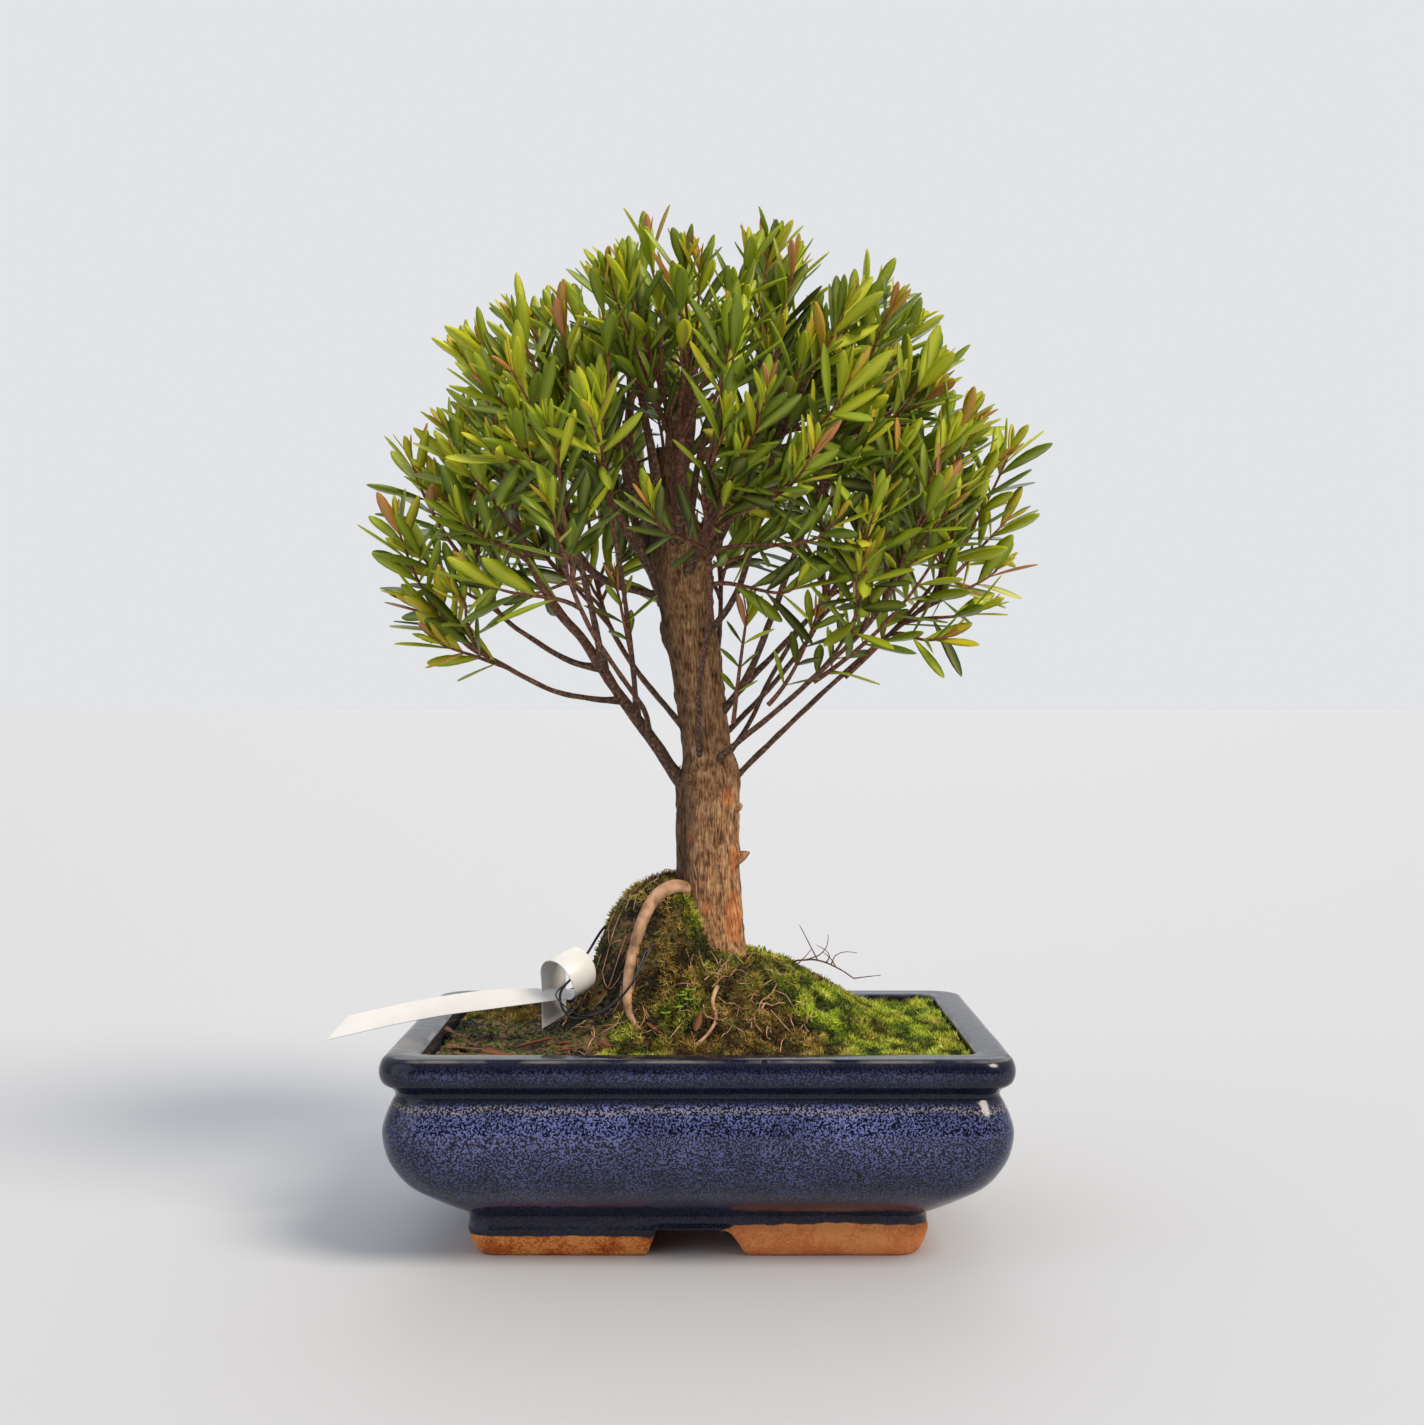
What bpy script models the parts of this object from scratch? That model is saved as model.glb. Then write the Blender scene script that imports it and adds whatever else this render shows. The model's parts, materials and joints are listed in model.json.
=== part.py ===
"""Bonsai tree in a glazed stoneware pot.

The pot stands on four corner feet and holds a block of soil with moss on it. The root ball stands proud of
the pot as a mound, with one root bare along its side. The trunk carries limbs, and each limb ends in a leafy
shoot. A plastic name label hangs in the loop of a tie wire.

Metres, +Z up. The origin is the middle of the pot, at the level that its feet stand on, and -Y is the front.
"""

import math
import random

import bmesh
import bpy
import numpy as np
from mathutils import Matrix, Vector

# ---------------------------------------------------------------- driving dimensions
POT_LENGTH = 0.2555
POT_DEPTH = 0.180
POT_HEIGHT = 0.088
RIM_WIDTH = 0.0155
WALL = 0.0080
FLOOR_TOP = 0.0245
FLOOR_UNDERSIDE = 0.0165
FOOT_INSET = 0.0326
FOOT_BAND = 0.015
GAP_HEIGHT = 0.0135
FRONT_GAP = 0.040
SIDE_GAP = 0.036
GAP_TAPER = 0.005
DRAIN_RADIUS = 0.0065
DRAIN_SPACING = 0.090
SCREEN_SIZE = 0.030
SCREEN_BAR = 0.0014
SCREEN_CELLS = 3

SOIL_LEVEL = POT_HEIGHT - 0.0075
SOIL_RISE = 0.0040
MOSS_THICKNESS = 0.0026
MOUND_HEIGHT = 0.036
SHOULDER_HEIGHT = 0.034

TWIG_RADIUS = 0.0008
NODE_LENGTH = 0.0016
LEAF_LENGTH = 0.023
LEAF_WIDTH = 0.0060
LEAF_THICKNESS = 0.0008
LEAF_PAIRS = 6
BARE_SEGMENTS = 3
LEAFY_PART = 0.62
SHOOTS = 29
CROWN_CENTRE = (0.0080, -0.0015, POT_HEIGHT + 0.2260)
CROWN_HALF = (0.1340, 0.1230, 0.1180)
CROWN_DROP = 0.050

TAG_THICKNESS = 0.0006
TAG_HEAD_WIDTH = 0.0145
TAG_STRIP_WIDTH = 0.0096
TAG_LOOP_RADIUS = 0.0092
WIRE_RADIUS = 0.0006

CLEARANCE = 0.0003
CORNER_STEPS = 3
GROUND_CELL = 0.0155
SEED = 7

# The pot's outer section from the foot up: inset from the rim's widest line, height, corner radius.
POT_SECTION = [
    (FOOT_INSET + 0.0045, 0.0, 0.008),
    (FOOT_INSET + 0.0020, 0.0018, 0.010),
    (FOOT_INSET + 0.0010, 0.0064, 0.010),
    (FOOT_INSET - 0.0010, 0.0107, 0.011),
    (FOOT_INSET, 0.0165, 0.011),
    (0.0250, POT_HEIGHT * 0.243, 0.014),
    (0.0174, POT_HEIGHT * 0.300, 0.017),
    (0.0098, POT_HEIGHT * 0.368, 0.018),
    (0.0046, POT_HEIGHT * 0.452, 0.018),
    (0.0016, POT_HEIGHT * 0.540, 0.017),
    (0.0005, POT_HEIGHT * 0.640, 0.016),
    (0.0021, POT_HEIGHT * 0.721, 0.015),
    (0.0052, POT_HEIGHT * 0.798, 0.012),
    (0.0048, POT_HEIGHT * 0.832, 0.012),
    (0.0014, POT_HEIGHT * 0.873, 0.013),
    (0.0000, POT_HEIGHT * 0.926, 0.014),
    (0.0002, POT_HEIGHT * 0.966, 0.014),
    (0.0018, POT_HEIGHT - 0.0006, 0.013),
    (0.0034, POT_HEIGHT, 0.012),
]

# The trunk's centreline with its radius, from inside the soil to the old pruning stub. Here and for the limbs,
# heights are from the pot's top edge.
TRUNK = [
    ((0.0040, 0.0000, -0.0180), 0.0200),
    ((0.0040, 0.0000, 0.0100), 0.0190),
    ((0.0040, 0.0000, 0.0320), 0.0165),
    ((0.0042, 0.0000, 0.0530), 0.0145),
    ((0.0038, 0.0000, 0.0750), 0.0136),
    ((0.0037, 0.0000, 0.0970), 0.0132),
    ((0.0045, 0.0000, 0.1100), 0.0118),
    ((0.0027, 0.0005, 0.1240), 0.0104),
    ((0.0006, 0.0010, 0.1420), 0.0104),
    ((-0.0011, 0.0015, 0.1600), 0.0108),
    ((-0.0044, 0.0015, 0.1770), 0.0111),
    ((-0.0068, 0.0015, 0.1950), 0.0120),
    ((-0.0095, 0.0015, 0.2100), 0.0120),
    ((-0.0118, 0.0015, 0.2250), 0.0100),
    ((-0.0130, 0.0015, 0.2420), 0.0070),
    ((-0.0135, 0.0015, 0.2540), 0.0055),
]

# Each limb: its name, what it grows from, its radius at the base and at the tip, and its route. A limb that
# grows from another limb is a fork of it, and one piece with it.
LIMBS = [
    ("limb_left_low", "trunk", 0.0029, 0.0018,
     [(-0.002, 0.0, 0.1000), (-0.0125, -0.002, 0.1125), (-0.0217, -0.004, 0.1262), (-0.0315, -0.007, 0.1395),
      (-0.0417, -0.010, 0.1550), (-0.0505, -0.012, 0.1683), (-0.0616, -0.014, 0.1816),
      (-0.0720, -0.015, 0.2000), (-0.0800, -0.016, 0.2230)]),
    ("limb_left_reach", "limb_left_low", 0.0012, 0.0009,
     [(-0.0335, -0.0075, 0.1420), (-0.0450, -0.014, 0.1425), (-0.0616, -0.017, 0.1457),
      (-0.0758, -0.019, 0.1523), (-0.0891, -0.021, 0.1599), (-0.0993, -0.022, 0.1652)]),
    ("limb_left_outer", "limb_left_low", 0.0013, 0.0009,
     [(-0.0425, -0.010, 0.1560), (-0.0560, -0.004, 0.1590), (-0.0720, 0.002, 0.1680),
      (-0.0880, 0.006, 0.1800), (-0.0990, 0.008, 0.1980), (-0.1060, 0.010, 0.2180)]),
    ("limb_left_rise", "limb_left_low", 0.0015, 0.0010,
     [(-0.0417, -0.010, 0.1550), (-0.0448, -0.0200, 0.1752), (-0.0510, -0.029, 0.2038),
      (-0.0565, -0.036, 0.2304), (-0.0620, -0.042, 0.2520)]),
    ("limb_left_inner", "limb_left_low", 0.0012, 0.0009,
     [(-0.0270, -0.0055, 0.1337), (-0.0290, -0.014, 0.1600), (-0.0320, -0.024, 0.1880),
      (-0.0360, -0.036, 0.2150), (-0.0400, -0.050, 0.2350)]),
    ("limb_left_stub", "trunk", 0.0020, 0.0012,
     [(-0.0075, 0.002, 0.1860), (-0.0261, 0.004, 0.1905), (-0.0439, 0.010, 0.1971),
      (-0.0590, 0.017, 0.2127), (-0.0700, 0.024, 0.2393), (-0.0760, 0.030, 0.2630)]),
    ("limb_right_reach", "trunk", 0.0014, 0.0009,
     [(0.0080, 0.0, 0.1000), (0.0404, -0.004, 0.1319), (0.0626, -0.007, 0.1528), (0.0803, -0.009, 0.1683),
      (0.0981, -0.010, 0.1829), (0.1080, -0.010, 0.1930)]),
    ("limb_right_front", "trunk", 0.0014, 0.0009,
     [(0.0050, -0.006, 0.1130), (0.0182, -0.016, 0.1248), (0.0360, -0.022, 0.1395), (0.0537, -0.028, 0.1559),
      (0.0715, -0.035, 0.1736), (0.0850, -0.041, 0.1940)]),
    ("limb_right_back", "trunk", 0.0012, 0.0009,
     [(0.0060, 0.004, 0.1080), (0.0218, 0.012, 0.1306), (0.0315, 0.018, 0.1506), (0.0448, 0.026, 0.1727),
      (0.0626, 0.036, 0.1949), (0.0760, 0.044, 0.2200)]),
    ("limb_right_mid", "trunk", 0.0018, 0.0010,
     [(0.0030, 0.000, 0.1280), (0.0204, -0.004, 0.1506), (0.0306, -0.008, 0.1750), (0.0404, -0.013, 0.2016),
      (0.0510, -0.018, 0.2304), (0.0620, -0.022, 0.2570)]),
    ("limb_right_outer", "limb_right_mid", 0.0014, 0.0010,
     [(0.0170, -0.0032, 0.1462), (0.0330, 0.002, 0.1620), (0.0500, 0.006, 0.1800), (0.0690, 0.010, 0.2030),
      (0.0850, 0.012, 0.2280)]),
    ("limb_right_rise", "trunk", 0.0016, 0.0010,
     [(-0.0010, -0.004, 0.1660), (0.0138, -0.014, 0.1838), (0.0218, -0.022, 0.2038), (0.0280, -0.034, 0.2304),
      (0.0340, -0.048, 0.2550)]),
    ("limb_front", "trunk", 0.0014, 0.0010,
     [(0.0010, -0.003, 0.1080), (-0.0002, -0.0150, 0.1300), (0.0005, -0.0190, 0.1506), (0.0040, -0.0260, 0.1700),
      (0.0050, -0.0420, 0.1900), (0.0040, -0.0600, 0.2100), (0.0020, -0.0740, 0.2300)]),
    ("limb_front_left", "limb_left_low", 0.0012, 0.0009,
     [(-0.0217, -0.004, 0.1262), (-0.0235, -0.022, 0.1380), (-0.0330, -0.042, 0.1530), (-0.0450, -0.060, 0.1730),
      (-0.0540, -0.074, 0.1960)]),
    ("limb_back_left", "trunk", 0.0016, 0.0010,
     [(0.0010, 0.002, 0.1200), (-0.0140, 0.020, 0.1380), (-0.0300, 0.042, 0.1570), (-0.0440, 0.064, 0.1800),
      (-0.0520, 0.080, 0.2060)]),
    ("limb_back", "trunk", 0.0017, 0.0010,
     [(0.0020, 0.003, 0.1350), (0.0060, 0.024, 0.1530), (0.0090, 0.048, 0.1720), (0.0100, 0.072, 0.1960),
      (0.0080, 0.088, 0.2220)]),
    ("limb_back_right", "trunk", 0.0014, 0.0010,
     [(0.0030, 0.003, 0.1190), (0.0200, 0.022, 0.1350), (0.0380, 0.044, 0.1540), (0.0560, 0.066, 0.1780),
      (0.0640, 0.080, 0.2040)]),
    ("limb_top_left", "trunk", 0.0032, 0.0016,
     [(-0.0085, -0.001, 0.2030), (-0.0245, -0.006, 0.2280), (-0.0340, -0.010, 0.2520), (-0.0430, -0.013, 0.2780)]),
    ("limb_top_back", "trunk", 0.0030, 0.0016,
     [(-0.0095, 0.003, 0.2050), (-0.0120, 0.018, 0.2260), (-0.0140, 0.034, 0.2480), (-0.0140, 0.048, 0.2720)]),
    ("limb_top_front", "trunk", 0.0026, 0.0014,
     [(-0.0085, -0.001, 0.1990), (-0.0080, -0.015, 0.2200), (-0.0080, -0.026, 0.2450), (-0.0060, -0.034, 0.2720)]),
    ("limb_top_right", "trunk", 0.0030, 0.0016,
     [(-0.0070, 0.001, 0.1940), (0.0090, 0.004, 0.2250), (0.0170, 0.004, 0.2482), (0.0280, 0.004, 0.2760)]),
    ("leader", "trunk", 0.0036, 0.0018,
     [(-0.0125, 0.0015, 0.2320), (-0.0060, 0.0030, 0.2530), (-0.0030, 0.0050, 0.2740), (-0.0020, 0.0060, 0.2900)]),
]

# Where the bare root lies on the mound, and the route of the tie wire through the label's loop, with heights
# from the loop's middle.
BARE_ROOT = [(0.000, -0.0060), (-0.0110, -0.0150), (-0.0215, -0.0200), (-0.0290, -0.0270), (-0.0300, -0.0350),
             (-0.0270, -0.0430), (-0.0230, -0.0500)]
THIN_ROOT = [(0.0080, -0.0350), (0.0060, -0.0420), (0.0075, -0.0490), (0.0040, -0.0560), (-0.0020, -0.0620)]
TIE_WIRE = [(-0.0330, 0.0060, 0.0170), (-0.0412, 0.0060, 0.0185), (-0.0490, 0.0000, 0.0075),
            (-0.0545, -0.0120, -0.0010), (-0.0590, -0.0260, -0.0060), (-0.0580, -0.0330, -0.0115),
            (-0.0530, -0.0380, -0.0155), (-0.0440, -0.0420, -0.0135), (-0.0350, -0.0430, -0.0080),
            (-0.0285, -0.0420, -0.0010), (-0.0250, -0.0360, 0.0060), (-0.0220, -0.0300, 0.0130)]
LOOP_PLACE = (-0.0560, -0.0190)
LOOP_LIFT = 0.0228
DRY_LEAVES = [("dry_leaf_left", (0.0290 - POT_LENGTH / 2, 0.0400 - POT_DEPTH / 2), 25.0),
              ("dry_leaf_middle", (0.0490 - POT_LENGTH / 2, 0.0410 - POT_DEPTH / 2), 35.0)]
DEAD_TWIG = [(0.0360, -0.0040, 0.0060), (0.0400, -0.0060, 0.0250), (0.0470, -0.0070, 0.0280),
             (0.0540, -0.0075, 0.0275), (0.0620, -0.0080, 0.0240), (0.0680, -0.0080, 0.0200)]

parts = bpy.data.collections.new("bonsai_tree")
cutters = bpy.data.collections.new("cutters")


# ---------------------------------------------------------------- materials
def material(name, colour, roughness, metallic=0.0):
    made = bpy.data.materials.new(name)
    made.use_nodes = True
    shader = made.node_tree.nodes["Principled BSDF"]
    shader.inputs["Base Color"].default_value = (*colour, 1.0)
    shader.inputs["Roughness"].default_value = roughness
    shader.inputs["Metallic"].default_value = metallic
    return made


def make_materials():
    return {
        "glaze": material("glaze", (0.045, 0.060, 0.150), 0.15),
        "plastic_mesh": material("plastic_mesh", (0.03, 0.03, 0.03), 0.6),
        "soil": material("soil", (0.050, 0.032, 0.020), 0.95),
        "moss": material("moss", (0.110, 0.160, 0.025), 0.95),
        "bark": material("bark", (0.220, 0.130, 0.070), 0.85),
        "leaf": material("leaf", (0.110, 0.190, 0.020), 0.35),
        "dry_leaf": material("dry_leaf", (0.330, 0.140, 0.050), 0.8),
        "label": material("label", (0.800, 0.800, 0.810), 0.4),
        "wire": material("wire", (0.020, 0.020, 0.022), 0.35),
    }


# ---------------------------------------------------------------- general shapes
def add_object(name, mesh, finish=None, cutter=False):
    obj = bpy.data.objects.new(name, mesh)
    (cutters if cutter else parts).objects.link(obj)
    if cutter:
        obj.hide_render = True
        obj.display_type = "WIRE"
    if finish:
        mesh.materials.append(finish)
    return obj


def mesh_from(bm, name):
    bmesh.ops.recalc_face_normals(bm, faces=bm.faces)
    if bm.calc_volume(signed=True) < 0:
        bmesh.ops.reverse_faces(bm, faces=bm.faces)
    mesh = bpy.data.meshes.new(name)
    bm.to_mesh(mesh)
    bm.free()
    return mesh


def evaluated_mesh(obj):
    """The object's mesh with its modifiers or its curve bevel applied, and its seams closed."""
    bpy.context.view_layer.update()
    graph = bpy.context.evaluated_depsgraph_get()
    mesh = bpy.data.meshes.new_from_object(obj.evaluated_get(graph))
    bm = bmesh.new()
    bm.from_mesh(mesh)
    bmesh.ops.remove_doubles(bm, verts=bm.verts, dist=1e-6)
    bmesh.ops.recalc_face_normals(bm, faces=bm.faces)
    bm.to_mesh(mesh)
    bm.free()
    return mesh


def apply_boolean(obj, other, operation):
    """Cuts or joins obj with other, and leaves the result in obj's own mesh."""
    modifier = obj.modifiers.new(operation.lower(), "BOOLEAN")
    modifier.operation = operation
    modifier.object = other
    materials = list(obj.data.materials)
    mesh = evaluated_mesh(obj)
    obj.modifiers.remove(modifier)
    obj.data = mesh
    mesh.materials.clear()
    for used in materials:
        mesh.materials.append(used)


def cut(obj, *others):
    for other in others:
        apply_boolean(obj, other, "DIFFERENCE")


def keep_largest(obj):
    """Drops the crumbs that a cut leaves beside the main body."""
    bm = bmesh.new()
    bm.from_mesh(obj.data)
    left = set(bm.verts)
    islands = []
    while left:
        stack = [left.pop()]
        island = set(stack)
        while stack:
            for edge in stack.pop().link_edges:
                for vert in edge.verts:
                    if vert in left:
                        left.remove(vert)
                        island.add(vert)
                        stack.append(vert)
        islands.append(island)
    largest = max(islands, key=len)
    crumbs = [v for v in bm.verts if v not in largest]
    bmesh.ops.delete(bm, geom=crumbs, context="VERTS")
    bm.to_mesh(obj.data)
    bm.free()


def box(name, low, high, taper=0.0, along="Y"):
    """A box cutter. Its top is narrower than its bottom by taper on each side, across the way that it runs."""
    bm = bmesh.new()
    bmesh.ops.create_cube(bm, size=1.0)
    low, high = Vector(low), Vector(high)
    across = 0 if along == "Y" else 1
    for vert in bm.verts:
        top = vert.co.z > 0
        vert.co = Vector((a + (b - a) * (c + 0.5) for a, b, c in zip(low, high, vert.co)))
        if top:
            middle = (low[across] + high[across]) / 2
            vert.co[across] += taper if vert.co[across] < middle else -taper
    return add_object(name, mesh_from(bm, name), cutter=True)


def cylinder(name, centre, radius, low, high):
    bm = bmesh.new()
    bmesh.ops.create_cone(bm, cap_ends=True, segments=20, radius1=radius, radius2=radius, depth=high - low)
    bmesh.ops.translate(bm, verts=bm.verts, vec=(centre[0], centre[1], (low + high) / 2))
    return add_object(name, mesh_from(bm, name), cutter=True)


def smooth_route(points, step):
    """Points about a step apart on a Catmull-Rom curve through the given ones. A point may carry its radius."""
    p = np.array(points, float)
    p = np.vstack([2 * p[0] - p[1], p, 2 * p[-1] - p[-2]])
    route = []
    for k in range(1, len(p) - 2):
        count = max(1, round(float(np.linalg.norm(p[k + 1][:3] - p[k][:3])) / step))
        for t in np.arange(count) / count:
            route.append(0.5 * (2 * p[k] + (p[k + 1] - p[k - 1]) * t
                                + (2 * p[k - 1] - 5 * p[k] + 4 * p[k + 1] - p[k + 2]) * t ** 2
                                + (3 * p[k] - p[k - 1] - 3 * p[k + 1] + p[k + 2]) * t ** 3))
    route.append(p[-2])
    return np.array(route)


def tube(name, route, sides_step, finish=None, grow=0.0, cutter=False):
    """A round rod along (x, y, z, radius) points, from a bevelled curve, made a mesh so that it can be cut."""
    curve = bpy.data.curves.new(name, "CURVE")
    curve.dimensions = "3D"
    curve.bevel_depth = 1.0
    curve.bevel_resolution = sides_step
    curve.use_fill_caps = True
    spline = curve.splines.new("POLY")
    spline.points.add(len(route) - 1)
    for point, (x, y, z, radius) in zip(spline.points, route):
        point.co = (x, y, z, 1.0)
        point.radius = radius + grow
    rod = bpy.data.objects.new(name + "_rod", curve)
    parts.objects.link(rod)
    mesh = evaluated_mesh(rod)
    bpy.data.objects.remove(rod)
    mesh.materials.clear()
    mesh.name = name
    return add_object(name, mesh, finish, cutter)


def with_radius(points, start, end):
    """Adds to each point a radius that falls from start to end along the way."""
    spans = np.linalg.norm(np.diff(np.array(points), axis=0), axis=1)
    along = np.concatenate([[0], np.cumsum(spans)]) / spans.sum()
    return [(*p, start + (end - start) * t) for p, t in zip(points, along)]


# ---------------------------------------------------------------- pot
def ring_points(half_length, half_depth, radius, z):
    """The corners' arcs of a rounded rectangle, anticlockwise from the +X +Y corner."""
    points = []
    for quarter, (sx, sy) in enumerate([(1, 1), (-1, 1), (-1, -1), (1, -1)]):
        for k in range(CORNER_STEPS + 1):
            angle = math.radians(90 * quarter + 90 * k / CORNER_STEPS)
            points.append((sx * (half_length - radius) + radius * math.cos(angle),
                           sy * (half_depth - radius) + radius * math.sin(angle), z))
    return points


def loft(name, sections, finish=None, cutter=False):
    """A closed body through rounded rectangles: (half length, half depth, corner radius, height) from the bottom."""
    bm = bmesh.new()
    rings = [[bm.verts.new(p) for p in ring_points(*section)] for section in sections]
    count = len(rings[0])
    for lower, upper in zip(rings, rings[1:]):
        for k in range(count):
            bm.faces.new((lower[k], lower[(k + 1) % count], upper[(k + 1) % count], upper[k]))
    bm.faces.new(reversed(rings[0]))
    bm.faces.new(rings[-1])
    return add_object(name, mesh_from(bm, name), finish, cutter)


def outer_sections():
    return [(POT_LENGTH / 2 - inset, POT_DEPTH / 2 - inset, radius, z) for inset, z, radius in POT_SECTION]


def cavity_sections(shrink=0.0, top=POT_HEIGHT + 0.002):
    """The hollow of the pot. With shrink it is the space that the soil fills, drawn in from the walls."""
    follows_body = [
        (0.0310, FLOOR_TOP + shrink, 0.010),
        (0.0172 + WALL * 0.90, FLOOR_TOP + 0.0033, 0.012),
        (0.0092 + WALL, POT_HEIGHT * 0.385, 0.013),
        (0.0046 + WALL, POT_HEIGHT * 0.468, 0.012),
        (0.0018 + WALL, POT_HEIGHT * 0.558, 0.011),
        (0.0010 + WALL, POT_HEIGHT * 0.670, 0.010),
        (0.0056 + WALL, POT_HEIGHT * 0.798, 0.008),
        (RIM_WIDTH + 0.0006, POT_HEIGHT * 0.880, 0.008),
        (RIM_WIDTH, POT_HEIGHT - 0.0015, 0.008),
        (RIM_WIDTH - 0.0012, POT_HEIGHT + 0.0004, 0.009),
    ]
    sections = [(POT_LENGTH / 2 - inset - shrink, POT_DEPTH / 2 - inset - shrink, radius - shrink, z)
                for inset, z, radius in follows_body]
    half_length, half_depth, radius, _ = sections[-1]
    if shrink:
        half_length, half_depth, radius, _ = sections[-2]
        sections.pop()
    sections.append((half_length, half_depth, radius, top))
    return sections


def make_pot(finish):
    """One piece of clay: the bowl, its rolled rim and its four corner feet."""
    pot = loft("pot", outer_sections(), finish)
    base_length = POT_LENGTH / 2 - FOOT_INSET
    base_depth = POT_DEPTH / 2 - FOOT_INSET
    recess = loft("recess_cutter", [
        (base_length - FOOT_BAND, base_depth - FOOT_BAND, 0.006, -0.005),
        (base_length - FOOT_BAND - 0.002, base_depth - FOOT_BAND - 0.002, 0.006, FLOOR_UNDERSIDE)], cutter=True)
    reach = POT_LENGTH
    front_gap = box("front_gap_cutter", (-FRONT_GAP / 2 - GAP_TAPER, -reach, -0.005),
                    (FRONT_GAP / 2 + GAP_TAPER, reach, GAP_HEIGHT), GAP_TAPER, "Y")
    side_gap = box("side_gap_cutter", (-reach, -SIDE_GAP / 2 - GAP_TAPER, -0.005),
                   (reach, SIDE_GAP / 2 + GAP_TAPER, GAP_HEIGHT), GAP_TAPER, "X")
    holes = [cylinder(f"drain_cutter_{side}", (x, 0.0), DRAIN_RADIUS, 0.0, FLOOR_TOP + 0.01)
             for side, x in (("left", -DRAIN_SPACING / 2), ("right", DRAIN_SPACING / 2))]
    cut(pot, loft("cavity_cutter", cavity_sections(), cutter=True), recess, front_gap, side_gap, *holes)


def make_screens(finish):
    """A square of plastic mesh over each drain hole, which keeps the soil in. Returns the pockets that it needs."""
    pockets = []
    half = SCREEN_SIZE / 2
    for side, x in (("left", -DRAIN_SPACING / 2), ("right", DRAIN_SPACING / 2)):
        bm = bmesh.new()
        bmesh.ops.create_grid(bm, x_segments=SCREEN_CELLS, y_segments=SCREEN_CELLS, size=half - SCREEN_BAR / 2)
        mesh = mesh_from(bm, "screen_grid")
        screen = add_object(f"drain_screen_{side}", mesh, finish)
        wires = screen.modifiers.new("bars", "WIREFRAME")
        wires.thickness = SCREEN_BAR
        wires.use_boundary = True
        wires.use_even_offset = False
        low = FLOOR_TOP + CLEARANCE
        screen.location = (x, 0.0, low + SCREEN_BAR / 2)
        room = half + SCREEN_BAR + CLEARANCE
        pockets.append(box(f"screen_pocket_{side}", (x - room, -room, 0.0),
                           (x + room, room, low + SCREEN_BAR + 2 * CLEARANCE)))
    return pockets


# ---------------------------------------------------------------- soil and moss
def bell(x, y, x0, y0, left, right, depth, power):
    """A mound of height 1 at (x0, y0), with its own width to the left, to the right and in depth."""
    width = left if x < x0 else right
    r2 = ((x - x0) / width) ** 2 + ((y - y0) / depth) ** 2
    return math.exp(-(r2 ** power))


def ground(x, y):
    """The height of the soil: low at the left end, filled up at the right, with the root ball in the middle."""
    level = SOIL_LEVEL + SOIL_RISE * (0.5 + 0.5 * math.tanh(x / 0.05))
    mound = MOUND_HEIGHT * bell(x, y, 0.000, 0.002, 0.052, 0.066, 0.052, 1.5)
    shoulder = SHOULDER_HEIGHT * bell(x, y, -0.018, 0.002, 0.030, 0.024, 0.030, 2.2)
    ripple = 0.0008 * math.sin(130 * x + 2.0) * math.cos(150 * y)
    return level + mound + shoulder + ripple


def ground_grid(lift):
    """A sheet that follows the ground. Sheets at different lifts have the same facets, so they stay apart."""
    bm = bmesh.new()
    cells_x = round(POT_LENGTH / GROUND_CELL)
    cells_y = round(POT_DEPTH / GROUND_CELL)
    bmesh.ops.create_grid(bm, x_segments=cells_x, y_segments=cells_y, size=0.5)
    for vert in bm.verts:
        x, y = vert.co.x * POT_LENGTH, vert.co.y * POT_DEPTH
        vert.co = (x, y, ground(x, y) + lift)
    bmesh.ops.triangulate(bm, faces=bm.faces)
    return bm


def soil_block(lift, bottom):
    """The ground sheet with straight sides down to a flat bottom."""
    bm = ground_grid(lift)
    edges = [e for e in bm.edges if e.is_boundary]
    skirt = bmesh.ops.extrude_edge_only(bm, edges=edges)["geom"]
    for vert in skirt:
        if isinstance(vert, bmesh.types.BMVert):
            vert.co.z = bottom
    bmesh.ops.edgeloop_fill(bm, edges=[g for g in skirt if isinstance(g, bmesh.types.BMEdge) and g.is_boundary])
    return bm


def make_soil(finish, pockets, buried):
    soil = add_object("soil", mesh_from(soil_block(0.0, 0.0), "soil"), finish)
    room = loft("soil_room", cavity_sections(CLEARANCE, top=0.200), cutter=True)
    apply_boolean(soil, room, "INTERSECT")
    cut(soil, *pockets, *buried)
    keep_largest(soil)


def patch(name, outline):
    """A prism over a closed outline in plan, for cutting one patch of moss out of the whole carpet."""
    curve = bpy.data.curves.new(name, "CURVE")
    curve.dimensions = "2D"
    curve.fill_mode = "BOTH"
    curve.extrude = 0.075
    spline = curve.splines.new("POLY")
    spline.points.add(len(outline) - 1)
    for point, (x, y) in zip(spline.points, outline):
        point.co = (x, y, 0.0, 1.0)
    spline.use_cyclic_u = True
    flat = bpy.data.objects.new(name + "_outline", curve)
    parts.objects.link(flat)
    mesh = evaluated_mesh(flat)
    bpy.data.objects.remove(flat)
    mesh.transform(Matrix.Translation((0, 0, 0.125)))
    return add_object(name, mesh, cutter=True)


def oval(cx, cy, rx, ry, steps=20):
    return [(cx + rx * math.cos(2 * math.pi * k / steps), cy + ry * math.sin(2 * math.pi * k / steps))
            for k in range(steps)]


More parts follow.
